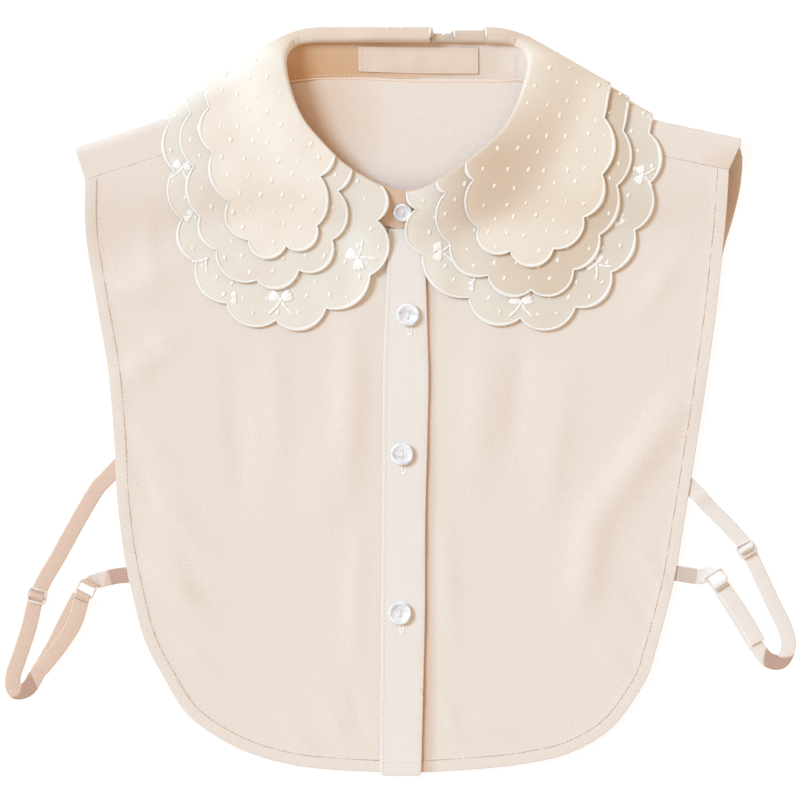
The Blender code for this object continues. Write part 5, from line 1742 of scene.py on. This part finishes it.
def ribbon(name, node, rows, wire=None, slider=None):
    """A flat elastic tape along its route, slightly bowed across."""
    route = [Vector(p) for p in curve(rows, TAPE_STEP)]
    if slider:
        centre = Vector(slider["centre"])
        heading = (Vector(slider["toward"]) - centre).normalized()
        for place in route:
            offset = place.xy - centre
            if offset.length < WEAVE_REACH:
                place.z += WEAVE_RISE * math.exp(-((offset.dot(heading) / WEAVE_WIDTH) ** 2))
    acrosses = []
    runs = [0.0]
    for i, place in enumerate(route):
        ahead = route[min(i + 1, len(route) - 1)] - route[max(i - 1, 0)]
        across = Vector((-ahead.y, ahead.x, 0.0)).normalized()
        if wire:
            near = 1.0 - smooth((place.xy - wire[0]).length, *LOOP_REACH)
            along = wire[1] if wire[1].dot(acrosses[-1] if acrosses else across) > 0.0 else -wire[1]
            if acrosses and across.dot(acrosses[-1]) < 0.0:
                across = -across
            across = across.lerp(along, near).normalized()
        acrosses.append(across)
        if i:
            runs.append(runs[-1] + (place - route[i - 1]).length)
    shape = bmesh.new()
    bmesh.ops.create_grid(shape, x_segments=len(route) - 1, y_segments=TAPE_ACROSS, size=0.5)
    uv = shape.loops.layers.uv.new("tape")
    shades = TAPE_SHADES.get(node, ())
    for row in shades:
        shape.verts.layers.float.new(row[0])
    places = {}
    for vert in shape.verts:
        i = round((vert.co.x + 0.5) * (len(route) - 1))
        v = vert.co.y
        places[vert] = (runs[i], v * TAPE_WIDTH)
        crown = 0.14 * math.cos(math.pi * v)
        vert.co = route[i] + acrosses[i] * v * TAPE_WIDTH + UP * crown
    for face in shape.faces:
        for loop in face.loops:
            loop[uv].uv = places[loop.vert]
    for attribute, x, y, half_length, slant, strength in shades:
        layer = shape.verts.layers.float.get(attribute)
        middle = min(range(len(route)), key=lambda i: math.hypot(route[i].x - x, route[i].y - y))
        for vert in shape.verts:
            run, across = places[vert]
            gap = abs(run - runs[middle] - slant * across)
            vert[layer] = strength * (1.0 - smooth(gap, half_length - 0.4, half_length + 0.4))
    bmesh.ops.recalc_face_normals(shape, faces=shape.faces)
    give_wall(shape, TAPE_WALL)
    finish_piece(name, shape, "elastic", node)


def fitting(node, centre, toward, base, with_bar):
    """A moulded clear frame with round edges, and a middle bar if it is a slider."""
    half_across, half_along = FRAME_HALF
    heading = Vector(toward) - Vector(centre)
    turn = Matrix.Rotation(math.atan2(heading.y, heading.x) - math.pi / 2.0, 4, "Z")
    middle = Vector((*centre, base + FRAME_HEIGHT / 2.0))
    wire = FRAME_WIRE / 2.0
    half_bar = Vector((half_across - wire, 0.0, 0.0))
    inset = wire + FRAME_CORNER
    path = []
    for sx, sy, first in ((1, 1, 0), (-1, 1, 90), (-1, -1, 180), (1, -1, 270)):
        corner = Vector((sx * (half_across - inset), sy * (half_along - inset), 0.0))
        for k in range(CORNER_PIECES + 1):
            angle = math.radians(first + 90.0 * k / CORNER_PIECES)
            path.append(corner + Vector((math.cos(angle), math.sin(angle), 0.0)) * FRAME_CORNER)
    data = bpy.data.curves.new(node, "CURVE")
    data.dimensions = "3D"
    data.bevel_depth = wire
    data.bevel_resolution = 4
    runs = [(path, True)]
    if with_bar:
        runs.append(([-half_bar, half_bar], False))
    for points, closed in runs:
        spline = data.splines.new("POLY")
        spline.points.add(len(points) - 1)
        spline.use_cyclic_u = closed
        for point, place in zip(spline.points, points):
            point.co = (*(turn @ place + middle), 1.0)
    guide = linked(node + "_guide", data)
    mesh = bpy.data.meshes.new_from_object(guide.evaluated_get(bpy.context.evaluated_depsgraph_get()))
    bpy.data.objects.remove(guide)
    shape = bmesh.new()
    shape.from_mesh(mesh)
    bpy.data.meshes.remove(mesh)
    bmesh.ops.recalc_face_normals(shape, faces=shape.faces)
    finish_piece("clear_" + node, shape, "clear", node)


def straps():
    for side, spec in STRAPS.items():
        limb_wire = wire_of(spec["ring"], 1.0)
        tab_wire = wire_of(spec["ring"], -1.0)
        limb = looped(spec["return"][:-1], limb_wire)
        tab = looped(tucked(spec["tab"][:-1]), tab_wire)
        ribbon("elastic_strap_" + side, "strap_" + side, tucked(spec["strap"]), slider=spec["slider"])
        ribbon("elastic_return_" + side, "strap_return_" + side, limb, limb_wire)
        ribbon("elastic_tab_" + side, "tab_" + side, tab, tab_wire)
        fitting("slider_" + side, **spec["slider"], base=SLIDER_BASE, with_bar=True)
        fitting("ring_" + side, **spec["ring"], base=RING_BASE, with_bar=False)


FLOOR_HALF = 3000.0
FLOOR_DROP = 0.05


def floor():
    shape = bmesh.new()
    bmesh.ops.create_grid(shape, x_segments=1, y_segments=1, size=FLOOR_HALF * MM)
    mesh = bpy.data.meshes.new("floor")
    bmesh.ops.translate(shape, verts=shape.verts, vec=(0.0, 0.0, -FLOOR_DROP * MM))
    shape.to_mesh(mesh)
    shape.free()
    mesh.materials.append(FINISHES["floor"])
    linked("floor", mesh)


camera()
light()
floor()
back()
fronts()
plackets()
stand()
label()
buttons()
collar()
straps()

bpy.context.view_layer.update()
